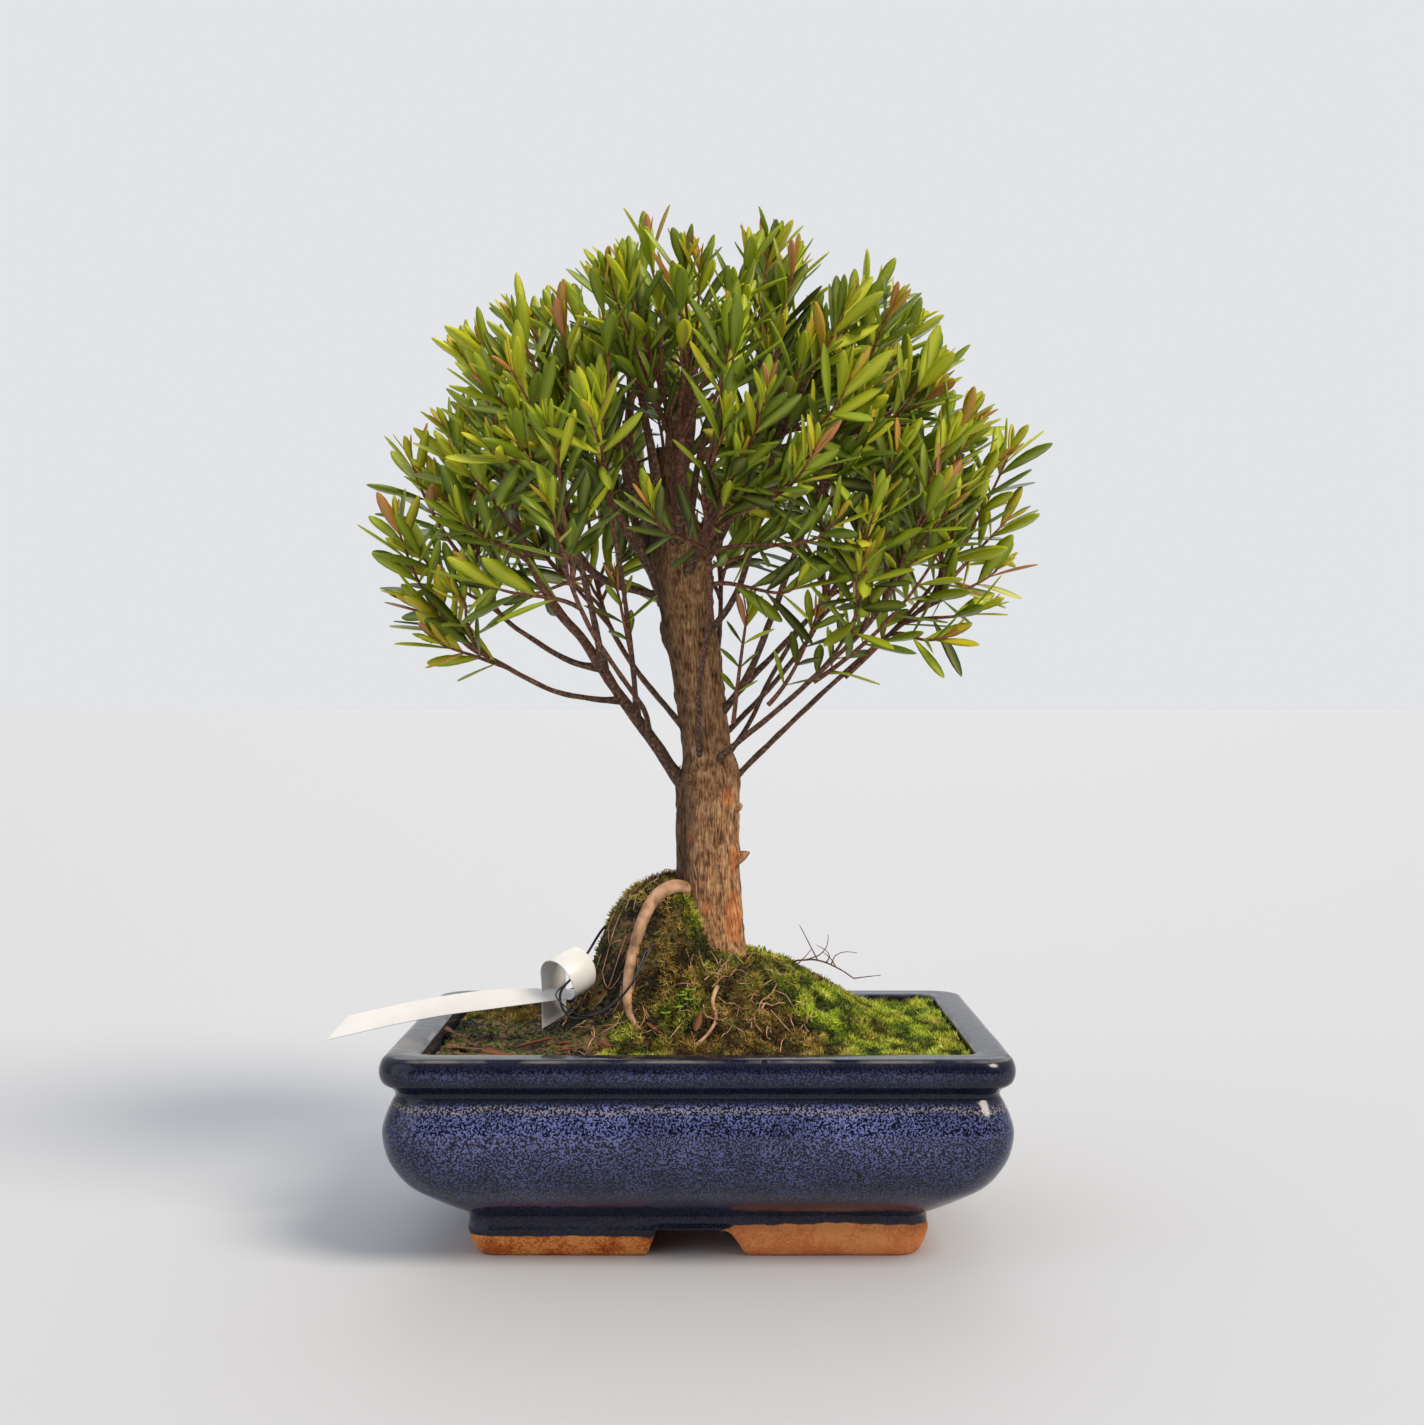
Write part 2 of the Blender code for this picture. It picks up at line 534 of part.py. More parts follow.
def make_moss(finish, buried):
    """Three patches of moss: over the mound, over the right end, and in a strip along the left front."""
    inner_length = POT_LENGTH / 2 - RIM_WIDTH
    inner_depth = POT_DEPTH / 2 - RIM_WIDTH
    seam = 0.052
    outlines = {
        "moss_mound": [(-0.046, -0.024), (-0.040, -0.044), (-0.032, -inner_depth + 0.006),
                       (-0.020, -inner_depth * 1.2), (seam, -inner_depth * 1.2), (seam, inner_depth * 1.2),
                       (-0.010, inner_depth - 0.008), (-0.042, inner_depth - 0.030), (-0.050, 0.020)],
        "moss_carpet": [(seam + 0.001, -inner_depth * 1.2), (POT_LENGTH / 2, -inner_depth * 1.2),
                        (POT_LENGTH / 2, inner_depth * 1.2), (seam + 0.001, inner_depth * 1.2)],
        "moss_strip": [(-inner_length * 1.2, -inner_depth * 1.2), (-0.035, -inner_depth * 1.2),
                       (-0.045, -inner_depth + 0.007), (-0.075, -inner_depth + 0.014),
                       (-inner_length * 1.2, -inner_depth + 0.014)],
    }
    room = loft("moss_room", cavity_sections(CLEARANCE, top=0.200), cutter=True)
    for name, outline in outlines.items():
        bm = ground_grid(CLEARANCE)
        sheet = add_object(name, mesh_from(bm, name), finish)
        upper = ground_grid(CLEARANCE + MOSS_THICKNESS)
        slab = bmesh.new()
        slab.from_mesh(sheet.data)
        upper_mesh = mesh_from(upper, name + "_top")
        slab.from_mesh(upper_mesh)
        bmesh.ops.bridge_loops(slab, edges=[e for e in slab.edges if e.is_boundary])
        bmesh.ops.recalc_face_normals(slab, faces=slab.faces)
        slab.to_mesh(sheet.data)
        slab.free()
        apply_boolean(sheet, patch(name + "_patch", outline), "INTERSECT")
        apply_boolean(sheet, room, "INTERSECT")
        cut(sheet, *buried)
        keep_largest(sheet)


# ---------------------------------------------------------------- tree
class Wood:
    """The rods already in place, kept as capsules so that new growth can stay clear of them."""

    def __init__(self):
        self.starts = np.zeros((0, 3))
        self.ends = np.zeros((0, 3))
        self.radii = np.zeros(0)
        self.limbs = 0

    def add(self, points, radii):
        points = np.array(points, float)
        self.starts = np.vstack([self.starts, points[:-1]])
        self.ends = np.vstack([self.ends, points[1:]])
        self.radii = np.concatenate([self.radii, radii])

    def gap(self, points, first=0):
        """The least free distance from any of the points to a capsule, counted from the first one given."""
        p = np.array(points, float)[:, None]
        starts, ends, radii = self.starts[first:], self.ends[first:], self.radii[first:]
        if not len(radii):
            return 1.0
        span = ends - starts
        t = ((p - starts) * span).sum(2) / (span ** 2).sum(1)
        near = starts + np.clip(t, 0, 1)[..., None] * span
        return float((np.linalg.norm(p - near, axis=2) - radii).min())


def make_tree(finishes):
    """The trunk, the limbs that are cut to sit against it, their forks, and the leafy shoots."""
    wood = Wood()
    seats = {}
    trunk_route = smooth_route([(x, y, POT_HEIGHT + z, r) for (x, y, z), r in TRUNK], 0.011)
    tube("trunk", trunk_route, 4, finishes["bark"])
    seats["trunk"] = tube("trunk_seat", trunk_route, 4, grow=CLEARANCE, cutter=True)
    wood.add(trunk_route[:, :3], trunk_route[:-1, 3])
    routes = {}
    for name, parent, start, end, heights in LIMBS:
        points = [(x, y, POT_HEIGHT + z) for x, y, z in heights]
        route = smooth_route(with_radius(points, start, end), 0.013)
        if parent == "trunk":
            limb = tube(name, route, 1, finishes["bark"])
            cut(limb, seats["trunk"])
            keep_largest(limb)
        else:
            fork = tube(name, route, 1, cutter=True)
            apply_boolean(bpy.data.objects[parent], fork, "UNION")
        wood.add(route[:, :3], route[:-1, 3])
        routes[name] = route
    draw = random.Random(SEED)
    wood.limbs = len(wood.radii)
    for number, target in enumerate(crown_targets(SHOOTS), start=1):
        make_shoot(f"shoot_{number:02d}", target, routes, finishes["leaf"], wood, draw)
    return seats


def crown_targets(count):
    """Points spread evenly over the crown's dome, in golden-angle order from its skirt to its top."""
    golden = math.pi * (3.0 - math.sqrt(5.0))
    targets = []
    for k in range(count):
        rise = -0.42 + 1.41 * (k + 0.5) / count
        level = math.sqrt(1.0 - rise * rise)
        half_z = CROWN_HALF[2] if rise > 0 else CROWN_DROP / 0.42
        targets.append(Vector((CROWN_CENTRE[0] + CROWN_HALF[0] * level * math.cos(golden * k),
                               CROWN_CENTRE[1] + CROWN_HALF[1] * level * math.sin(golden * k),
                               CROWN_CENTRE[2] + half_z * rise)))
    return targets


def bezier(points, t):
    a, b, c, d = points
    return a * (1 - t) ** 3 + b * 3 * t * (1 - t) ** 2 + c * 3 * t * t * (1 - t) + d * t ** 3


def find_path(target, routes, wood):
    """The curve from the nearest limb that can send a stem to the target without touching other wood."""
    outward = Vector((target.x - CROWN_CENTRE[0], target.y - CROWN_CENTRE[1], 0.0))
    aim = (outward * 7.0 + Vector((0, 0, 0.75))).normalized()
    choices = []
    for route in routes.values():
        points = [Vector(p[:3]) for p in route]
        for k in range(len(points) // 3, len(points)):
            last = k == len(points) - 1
            limb_way = (points[k] - points[k - 1]).normalized() if last else (points[k + 1] - points[k - 1]).normalized()
            span = target - points[k]
            bend = limb_way.angle(span)
            length = span.length
            if 0.030 < length < 0.125 and bend < math.radians(75):
                choices.append((length * (1.0 + 0.8 * bend), k, last, points[k], route[k][3], limb_way, span))
    choices.sort(key=lambda c: c[0])
    for _, k, last, point, radius, limb_way, span in choices:
        length = span.length
        heading = (limb_way * 0.4 + span.normalized()).normalized()
        side = heading - limb_way * heading.dot(limb_way)
        if last:
            heading = limb_way
            start = point + limb_way * CLEARANCE * 1.2
        elif side.length > 0.15:
            start = point + side.normalized() * (radius + TWIG_RADIUS + CLEARANCE)
        else:
            continue
        path = [start, start + heading * length * 0.35, target - aim * length * 0.35, target]
        base = [tuple(bezier(path, t)) for t in np.linspace(0.0, 0.10, 4)]
        rest = [tuple(bezier(path, t)) for t in np.linspace(0.10, 1.0, 24)]
        room = TWIG_RADIUS + 0.0010
        if wood.gap(rest) > room and wood.gap(base, wood.limbs) > room and wood.gap(rest[-1:]) > 0.008:
            return path
    return None


def make_shoot(name, target, routes, finish, wood, draw):
    """A stem that leaves a limb, bends up and out to its target, and carries pairs of leaves set crosswise."""
    path = find_path(target, routes, wood)
    if path is None:
        print(name, "has no free way to its place, so it is left out")
        return
    stops = [LEAFY_PART * 0.6 * k / BARE_SEGMENTS for k in range(1, BARE_SEGMENTS + 1)]
    stops += list(np.linspace(stops[-1], 1.0, LEAF_PAIRS + 1)[1:])
    position = path[0].copy()
    heading = (path[1] - path[0]).normalized()
    bm = bmesh.new()
    ring = bmesh.ops.create_circle(bm, cap_ends=True, segments=4, radius=TWIG_RADIUS)["verts"]
    frame = heading.to_track_quat("Z", "Y").to_matrix()
    bmesh.ops.transform(bm, matrix=Matrix.Translation(position) @ frame.to_4x4(), verts=ring)
    end_face = bm.faces[:][0]
    stem_points = [position.copy()]
    leaf_bases = []
    for number, stop in enumerate(stops):
        place = bezier(path, stop)
        bend = (place - position).normalized()
        pair = number - BARE_SEGMENTS
        end_face, frame, _ = extrude_stem(bm, end_face, position, place, frame, bend)
        position = place
        if pair >= 0:
            place = position + bend * NODE_LENGTH
            end_face, frame, sides = extrude_stem(bm, end_face, position, place, frame, bend)
            position = place
            crosswise = frame.col[0] + frame.col[1] * (1 if pair % 2 else -1)
            ordered = sorted(sides, key=lambda f: (f.calc_center_median() - position).dot(crosswise))
            leaf_bases.append((pair, position.copy(), bend.copy(), ordered[0], ordered[-1]))
        stem_points.append(position.copy())
    wood.add([tuple(p) for p in stem_points], [TWIG_RADIUS] * (len(stem_points) - 1))
    for pair, middle, along, *faces in leaf_bases:
        for face in faces:
            grow_leaf(bm, face, middle, along, pair, wood, draw)
    bud = bmesh.ops.poke(bm, faces=[end_face])["verts"][0]
    bud.co += bend * 0.005
    bm.faces.new(ring)
    add_object(name, mesh_from(bm, name), finish)


def extrude_stem(bm, face, position, place, frame, bend):
    """Draws the stem's end face out to a place, turned to the new heading. Returns it with its frame and sides."""
    extruded = bmesh.ops.extrude_discrete_faces(bm, faces=[face])["faces"][0]
    turn = frame.col[2].rotation_difference(bend).to_matrix()
    move = Matrix.Translation(place) @ turn.to_4x4() @ Matrix.Translation(-position)
    bmesh.ops.transform(bm, matrix=move, verts=extruded.verts)
    sides = [f for e in extruded.edges for f in e.link_faces if f is not extruded]
    return extruded, turn @ frame, sides


def grow_leaf(bm, face, middle, along, pair, wood, draw):
    """Draws a flat pointed blade out of one side of the stem, unless another part of the tree is in its way."""
    centre = face.calc_center_median()
    out = centre - middle
    out = (out - along * out.dot(along)).normalized()
    size = LEAF_LENGTH * draw.uniform(0.85, 1.1) * (1.0 - 0.25 * (pair / LEAF_PAIRS) ** 2)
    spread = math.radians(draw.uniform(42, 58))
    line = along * math.cos(spread) + out * math.sin(spread)
    across = line.cross(along).normalized()
    normal = across.cross(line).normalized()
    half_width = LEAF_WIDTH / 2 * draw.uniform(0.9, 1.1)
    middle_of_blade = centre + line * size * 0.5
    tip = centre + line * size + out * size * 0.08
    along_blade = [centre + (tip - centre) * t for t in (0.22, 0.36, 0.5, 0.63, 0.76, 0.88, 1.0)]
    edges = [along_blade[k] + across * half_width * side for k in (1, 2, 3) for side in (-0.9, 0.9)]
    if wood.gap([tuple(p) for p in along_blade + edges]) < 0.0014:
        return
    blade = bmesh.ops.extrude_discrete_faces(bm, faces=[face])["faces"][0]
    for vert in blade.verts:
        offset = vert.co - centre
        side = 1.0 if offset.dot(across) > 0 else -1.0
        level = 1.0 if offset.dot(along) > 0 else -1.0
        vert.co = middle_of_blade + across * side * half_width + normal * level * LEAF_THICKNESS / 2
    apex = bmesh.ops.poke(bm, faces=[blade])["verts"][0]
    apex.co = tip
    wood.add([tuple(p) for p in (centre + line * size * 0.1, middle_of_blade, tip)], [half_width, half_width])


def on_ground(points, radii, lift):
    """A route that lies on the soil at the given points in plan."""
    return [(x, y, ground(x, y) + lift * r, r) for (x, y), r in zip(points, radii)]


def make_roots(finish, trunk_seat):
    """The bare root along the side of the mound, and a thin one in front. Both lie half buried."""
    seats = []
    for name, points, thick, thin in (("bare_root", BARE_ROOT, 0.0023, 0.0012), ("thin_root", THIN_ROOT, 0.0009, 0.0006)):
        radii = np.linspace(thick, thin, len(points))
        route = smooth_route(on_ground(points, radii, 0.9), 0.005)
        root = tube(name, route, 2, finish)
        cut(root, trunk_seat)
        keep_largest(root)
        seats.append(tube(name + "_seat", route, 2, grow=CLEARANCE, cutter=True))
    return seats


# ---------------------------------------------------------------- label, wire and litter
def loop_height():
    """The height of the middle of the label's loop, which leans on the mound."""
    return ground(*LOOP_PLACE) + LOOP_LIFT


def make_wire(finish):
    middle = loop_height()
    points = [(x, y, middle + z) for x, y, z in TIE_WIRE]
    route = smooth_route(with_radius(points, WIRE_RADIUS, WIRE_RADIUS), 0.0045)
    tube("tie_wire", route, 1, finish)
    return tube("tie_wire_seat", route, 1, grow=CLEARANCE, cutter=True)


def tag_route():
    """The label's centreline with its width and the direction of its width: strip, loop, then the hanging head."""
    loop_centre = Vector((*LOOP_PLACE, loop_height()))
    axis = Vector((0.66, 0.68, 0.32)).normalized()
    left = Vector((-axis.y, axis.x, 0.0)).normalized()
    up = axis.cross(left)
    strip_tip = Vector((-POT_LENGTH / 2 - 0.0240, -0.0210, POT_HEIGHT + 0.0015))
    strip_across = Vector((0.02, 0.60, 0.80)).normalized()
    foot = loop_centre - up * TAG_LOOP_RADIUS
    stations = []
    steps = 10
    for k in range(steps):
        t = k / steps
        point = strip_tip.lerp(foot, t) + Vector((0, 0, 0.0030)) * math.sin(math.pi * t)
        across = strip_across.lerp(axis, max(0.0, (t - 0.6) / 0.4)).normalized()
        stations.append((point, across, TAG_STRIP_WIDTH))
    turns = 16
    for k in range(turns + 1):
        t = k / turns
        angle = math.radians(-90 + 262 * t)
        radius = TAG_LOOP_RADIUS * (1.0 + 0.12 * t)
        point = loop_centre - left * radius * math.cos(angle) + up * radius * math.sin(angle)
        width = TAG_STRIP_WIDTH + (TAG_HEAD_WIDTH - TAG_STRIP_WIDTH) * min(1.0, t * 2.5)
        stations.append((point, axis, width))
    down = (stations[-1][0] - stations[-2][0]).normalized()
    point = stations[-1][0].copy()
    for _ in range(4):
        down = down.lerp(Vector((0, 0, -1)), 0.6).normalized()
        point = point + down * 0.0058
        stations.append((point.copy(), axis, TAG_HEAD_WIDTH))
    return stations


def make_tag(finish):
    """The loop-lock plant label: a thin strip threaded through the slot in its own head. It carries no writing."""
    stations = tag_route()
    bm = bmesh.new()
    rows = [[bm.verts.new(point + across * width * side) for side in (-0.5, 0.5)]
            for point, across, width in stations]
    for a, b in zip(rows, rows[1:]):
        bm.faces.new((a[0], a[1], b[1], b[0]))
    rows[0][0].co += (rows[0][0].co - rows[1][0].co).normalized() * 0.0085
    tag = add_object("name_tag", mesh_from(bm, "name_tag"), finish)
    thick = tag.modifiers.new("thickness", "SOLIDIFY")
    thick.thickness = TAG_THICKNESS
    thick.offset = 0.0
    tag.data = evaluated_mesh(tag)
    tag.modifiers.clear()
    tag.data.materials.clear()
    tag.data.materials.append(finish)
    return tag


def make_litter(finishes):
    """Two dry leaves on the soil, and a dead twig that stands out of the moss. Returns the twig's seat."""
    for name, (x, y), angle in DRY_LEAVES:
        bm = bmesh.new()
        bmesh.ops.create_uvsphere(bm, u_segments=8, v_segments=6, radius=1.0)
        bmesh.ops.scale(bm, verts=bm.verts, vec=(0.0022, 0.0006, 0.0085))
        for vert in bm.verts:
            vert.co.y += 45.0 * vert.co.z ** 2
        leaf = add_object(name, mesh_from(bm, name), finishes["dry_leaf"])
        leaf.rotation_euler = (math.radians(90), 0.0, math.radians(90 + angle))
        leaf.location = (x, y, ground(x, y) + 0.0015)
    points = [(x, y, POT_HEIGHT + z) for x, y, z in DEAD_TWIG]
    route = smooth_route(with_radius(points, 0.0006, 0.0004), 0.006)
    tube("dead_twig", route, 0, finishes["bark"])
    return tube("dead_twig_seat", route, 0, grow=CLEARANCE, cutter=True)


def main():
    for obj in list(bpy.data.objects):
        bpy.data.objects.remove(obj)
    for collection in (parts, cutters):
        bpy.context.scene.collection.children.link(collection)
    finishes = make_materials()
    make_pot(finishes["glaze"])
    pockets = make_screens(finishes["plastic_mesh"])
    seats = make_tree(finishes)
    root_seats = make_roots(finishes["bark"], seats["trunk"])
    wire_seat = make_wire(finishes["wire"])
    make_tag(finishes["label"])
    twig_seat = make_litter(finishes)
    buried = [seats["trunk"], *root_seats, wire_seat, twig_seat]
    make_soil(finishes["soil"], pockets, buried)
    make_moss(finishes["moss"], buried)
    bpy.data.collections.remove(cutters)


main()
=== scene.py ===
"""Bonsai tree in a glazed stoneware pot: its detailed surfaces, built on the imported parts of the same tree.

The file is laid out as an add-on and is run as a script. Each operator builds one piece or one group of like
pieces, and main() calls them in order. Metres, +Z up, with the origin under the middle of the pot.
"""

import json
import math
import random
from functools import cached_property

import bmesh
import bpy
import numpy as np
from bpy.props import FloatProperty, FloatVectorProperty, IntProperty, PointerProperty
from mathutils import Matrix, Vector, noise

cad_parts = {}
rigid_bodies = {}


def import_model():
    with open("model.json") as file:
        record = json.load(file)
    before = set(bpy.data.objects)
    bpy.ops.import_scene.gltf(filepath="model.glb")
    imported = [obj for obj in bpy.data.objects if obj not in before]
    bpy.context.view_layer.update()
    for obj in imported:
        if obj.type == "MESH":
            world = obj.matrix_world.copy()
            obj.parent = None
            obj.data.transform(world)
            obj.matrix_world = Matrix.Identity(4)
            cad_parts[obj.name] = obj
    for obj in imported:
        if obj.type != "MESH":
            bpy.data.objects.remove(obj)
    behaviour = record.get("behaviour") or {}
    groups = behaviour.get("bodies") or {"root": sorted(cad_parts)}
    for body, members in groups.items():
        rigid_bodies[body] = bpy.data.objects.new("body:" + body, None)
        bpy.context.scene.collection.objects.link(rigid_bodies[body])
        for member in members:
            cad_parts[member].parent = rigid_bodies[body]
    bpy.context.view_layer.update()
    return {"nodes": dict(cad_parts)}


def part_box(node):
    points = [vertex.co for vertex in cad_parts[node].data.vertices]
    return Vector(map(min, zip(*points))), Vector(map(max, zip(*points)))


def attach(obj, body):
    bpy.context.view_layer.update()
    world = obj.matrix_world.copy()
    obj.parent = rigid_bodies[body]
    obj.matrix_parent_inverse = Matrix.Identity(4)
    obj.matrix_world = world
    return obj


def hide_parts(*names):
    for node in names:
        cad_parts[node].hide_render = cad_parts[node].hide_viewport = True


bl_info = {
    "name": "Potted bonsai tree",
    "version": (1, 0, 0),
    "blender": (4, 5, 0),
    "location": "View3D > Sidebar > Bonsai",
    "description": "Builds a bonsai tree with its pot, soil, moss, label and tie wire",
    "category": "Add Mesh",
}

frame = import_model()
POT_LOW, POT_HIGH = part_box("pot")
POT_HALF_LENGTH = (POT_HIGH[0] - POT_LOW[0]) / 2
POT_HALF_DEPTH = (POT_HIGH[1] - POT_LOW[1]) / 2
POT_HEIGHT = POT_HIGH[2]
SOIL_LEVEL = POT_HEIGHT - 0.0075
# The pot's inner wall, as an inset from its widest line, then the soil's half length and half depth, the radius of
# its corners, and the block that it fills, which stays clear of the wall.
RIM_INNER = 0.0163
SOIL_HIGH = (POT_HALF_LENGTH - RIM_INNER, POT_HALF_DEPTH - RIM_INNER)
SOIL_CORNER = 0.008
SOIL_BED = [[sign * (half - 0.0008) for half in SOIL_HIGH] for sign in (-1, 1)]
# Where one patch of moss ends and the next begins, across the pot.
MOUND_LEFT = -0.052
MOUND_RIGHT = 0.050
# The most sprigs of moss on a square metre, and the widths of one face of the beds that moss and crumbs are set on.
SPRIG_LIMIT = 1.5e6
MOSS_CELL = 0.002
CRUMB_CELL = 0.004

# The pot's section, from the underside down over the feet, up the outside and over the rim, then down inside to the
# floor: inset from the pot's widest line, height, corner radius. The step is the distance between two rings.
FOOT_SECTION = [(0.0484, 0.0165, 0.006), (0.0482, 0.0120, 0.006), (0.0478, 0.0040, 0.006),
                (0.0472, 0.0010, 0.006), (0.0460, 0.0000, 0.007), (0.0414, 0.0000, 0.008),
                (0.0368, 0.0000, 0.009), (0.0350, 0.0014, 0.010), (0.0332, 0.0055, 0.010)]
BODY_SECTION = [(0.0317, 0.0105, 0.011), (0.0323, 0.0158, 0.011), (0.0309, 0.0182, 0.012),
                (0.0250, 0.0216, 0.015), (0.0176, 0.0262, 0.018), (0.0098, 0.0324, 0.018),
                (0.0046, 0.0398, 0.018), (0.0016, 0.0475, 0.017), (0.0005, 0.0563, 0.016),
                (0.0020, 0.0632, 0.015), (0.0046, 0.0690, 0.013), (0.0060, 0.0718, 0.012),
                (0.0046, 0.0744, 0.012), (0.0013, 0.0770, 0.013), (0.0000, 0.0812, 0.014),
                (0.0006, 0.0850, 0.014), (0.0022, 0.0873, 0.013), (0.0050, 0.0880, 0.012),
                (0.0110, 0.0879, 0.010), (0.0138, 0.0874, 0.009), (0.0152, 0.0860, 0.008),
                (0.0156, 0.0820, 0.008), (0.0160, 0.0740, 0.008), (0.0150, 0.0640, 0.008),
                (0.0160, 0.0420, 0.009), (0.0240, 0.0290, 0.010), (0.0330, 0.0250, 0.010),
                (0.0400, 0.0245, 0.010)]
SECTION_STEP = 0.0012
# The height where the glaze breaks to brown.
SHOULDER_LINE = 0.0672
# The drain holes, left and right of the middle, and the gaps between the feet: height, and width on each side.
DRAIN_PLACE = 0.045
DRAIN_RADIUS = 0.0065
GAP_HEIGHT = 0.0135
FRONT_GAP = 0.040
SIDE_GAP = 0.036

# The trunk's centreline with its radius, from inside the soil to the old pruning stub. For all of the tree,
# heights are from the pot's top edge.
TRUNK = [(0.0040, 0.0000, -0.0180, 0.0200), (0.0040, 0.0000, 0.0100, 0.0190), (0.0040, 0.0000, 0.0320, 0.0165),
         (0.0042, 0.0000, 0.0530, 0.0145), (0.0038, 0.0000, 0.0750, 0.0136), (0.0037, 0.0000, 0.0970, 0.0132),
         (0.0045, 0.0000, 0.1100, 0.0118), (0.0027, 0.0005, 0.1240, 0.0104), (0.0006, 0.0010, 0.1420, 0.0104),
         (-0.0011, 0.0015, 0.1600, 0.0108), (-0.0044, 0.0015, 0.1770, 0.0111), (-0.0068, 0.0015, 0.1950, 0.0120),
         (-0.0095, 0.0015, 0.2100, 0.0120), (-0.0118, 0.0015, 0.2250, 0.0100), (-0.0130, 0.0015, 0.2420, 0.0070),
         (-0.0135, 0.0015, 0.2540, 0.0055)]

# Each knot: its height, its angle on the trunk, how far it stands out and its width. Angles are counted from the
# left and a quarter turn is to the front. Then the short stubs of cut limbs.
TRUNK_KNOTS = [(0.075, 3.0, 0.0022, 0.0040), (0.096, 2.9, 0.0016, 0.0036), (0.107, 1.3, 0.0016, 0.0050),
               (0.109, 3.1, 0.0014, 0.0060), (0.107, 0.2, 0.0020, 0.0060), (0.112, 5.0, 0.0016, 0.0060),
               (0.172, 0.3, 0.0018, 0.0050), (0.188, 1.6, 0.0020, 0.0060), (0.201, 2.6, 0.0030, 0.0080),
               (0.204, 0.6, 0.0028, 0.0080), (0.205, 4.4, 0.0028, 0.0080), (0.040, 0.3, 0.0020, 0.0090)]
TRUNK_LEFT = np.array((-0.950, 0.310, 0.0))
TRUNK_FRONT = np.array((-0.310, -0.950, 0.0))
TRUNK_STUBS = [
    [(0.0120, -0.0040, 0.0690, 0.0034), (0.0190, -0.0050, 0.0735, 0.0022), (0.0225, -0.0055, 0.0752, 0.0004)],
    [(0.0120, -0.0050, 0.0930, 0.0030), (0.0178, -0.0060, 0.0955, 0.0020), (0.0190, -0.0062, 0.0962, 0.0008)],
    [(-0.0030, -0.0100, 0.1060, 0.0022), (-0.0045, -0.0150, 0.1085, 0.0016),
     (-0.0050, -0.0165, 0.1100, 0.0007)]]
# Where a flake of bark came off the front: across, up, half width, half height.
PEEL_SPOTS = [(0.0150, 0.0470, 0.0042, 0.0120), (0.0035, 0.0510, 0.0024, 0.0034), (0.0130, 0.0990, 0.0032, 0.0048),
              (0.0155, 0.0720, 0.0024, 0.0060), (-0.0030, 0.0820, 0.0018, 0.0040)]
# How far right of the pot's middle the trunk stands, and the number of loose fibres on its bark.
TRUNK_X = 0.0045
FIBRES = 760
# The foliage's dome: its middle, half its length and depth, and its height over and under the middle.
CROWN_MIDDLE = (0.0055, -0.0010, 0.2230)
CROWN_HALF = (0.1245, 0.113)
CROWN_OVER = 0.1235
CROWN_UNDER = 0.125
# The upright stems that stand around the trunk's cut top, and the circle that they stand on.
CROWN_STEMS = 11
STEM_CIRCLE = 0.0060
STEM_MIDDLE = (-0.0090, 0.0015)
# On a shoot: from the tip to the first pair of leaves, from there to the second pair, and the most that the distance
# between two pairs grows to on the way down.
LEAF_BACK = 0.0010
LEAF_GAP = 0.0026
LEAF_GAP_MOST = 0.0082

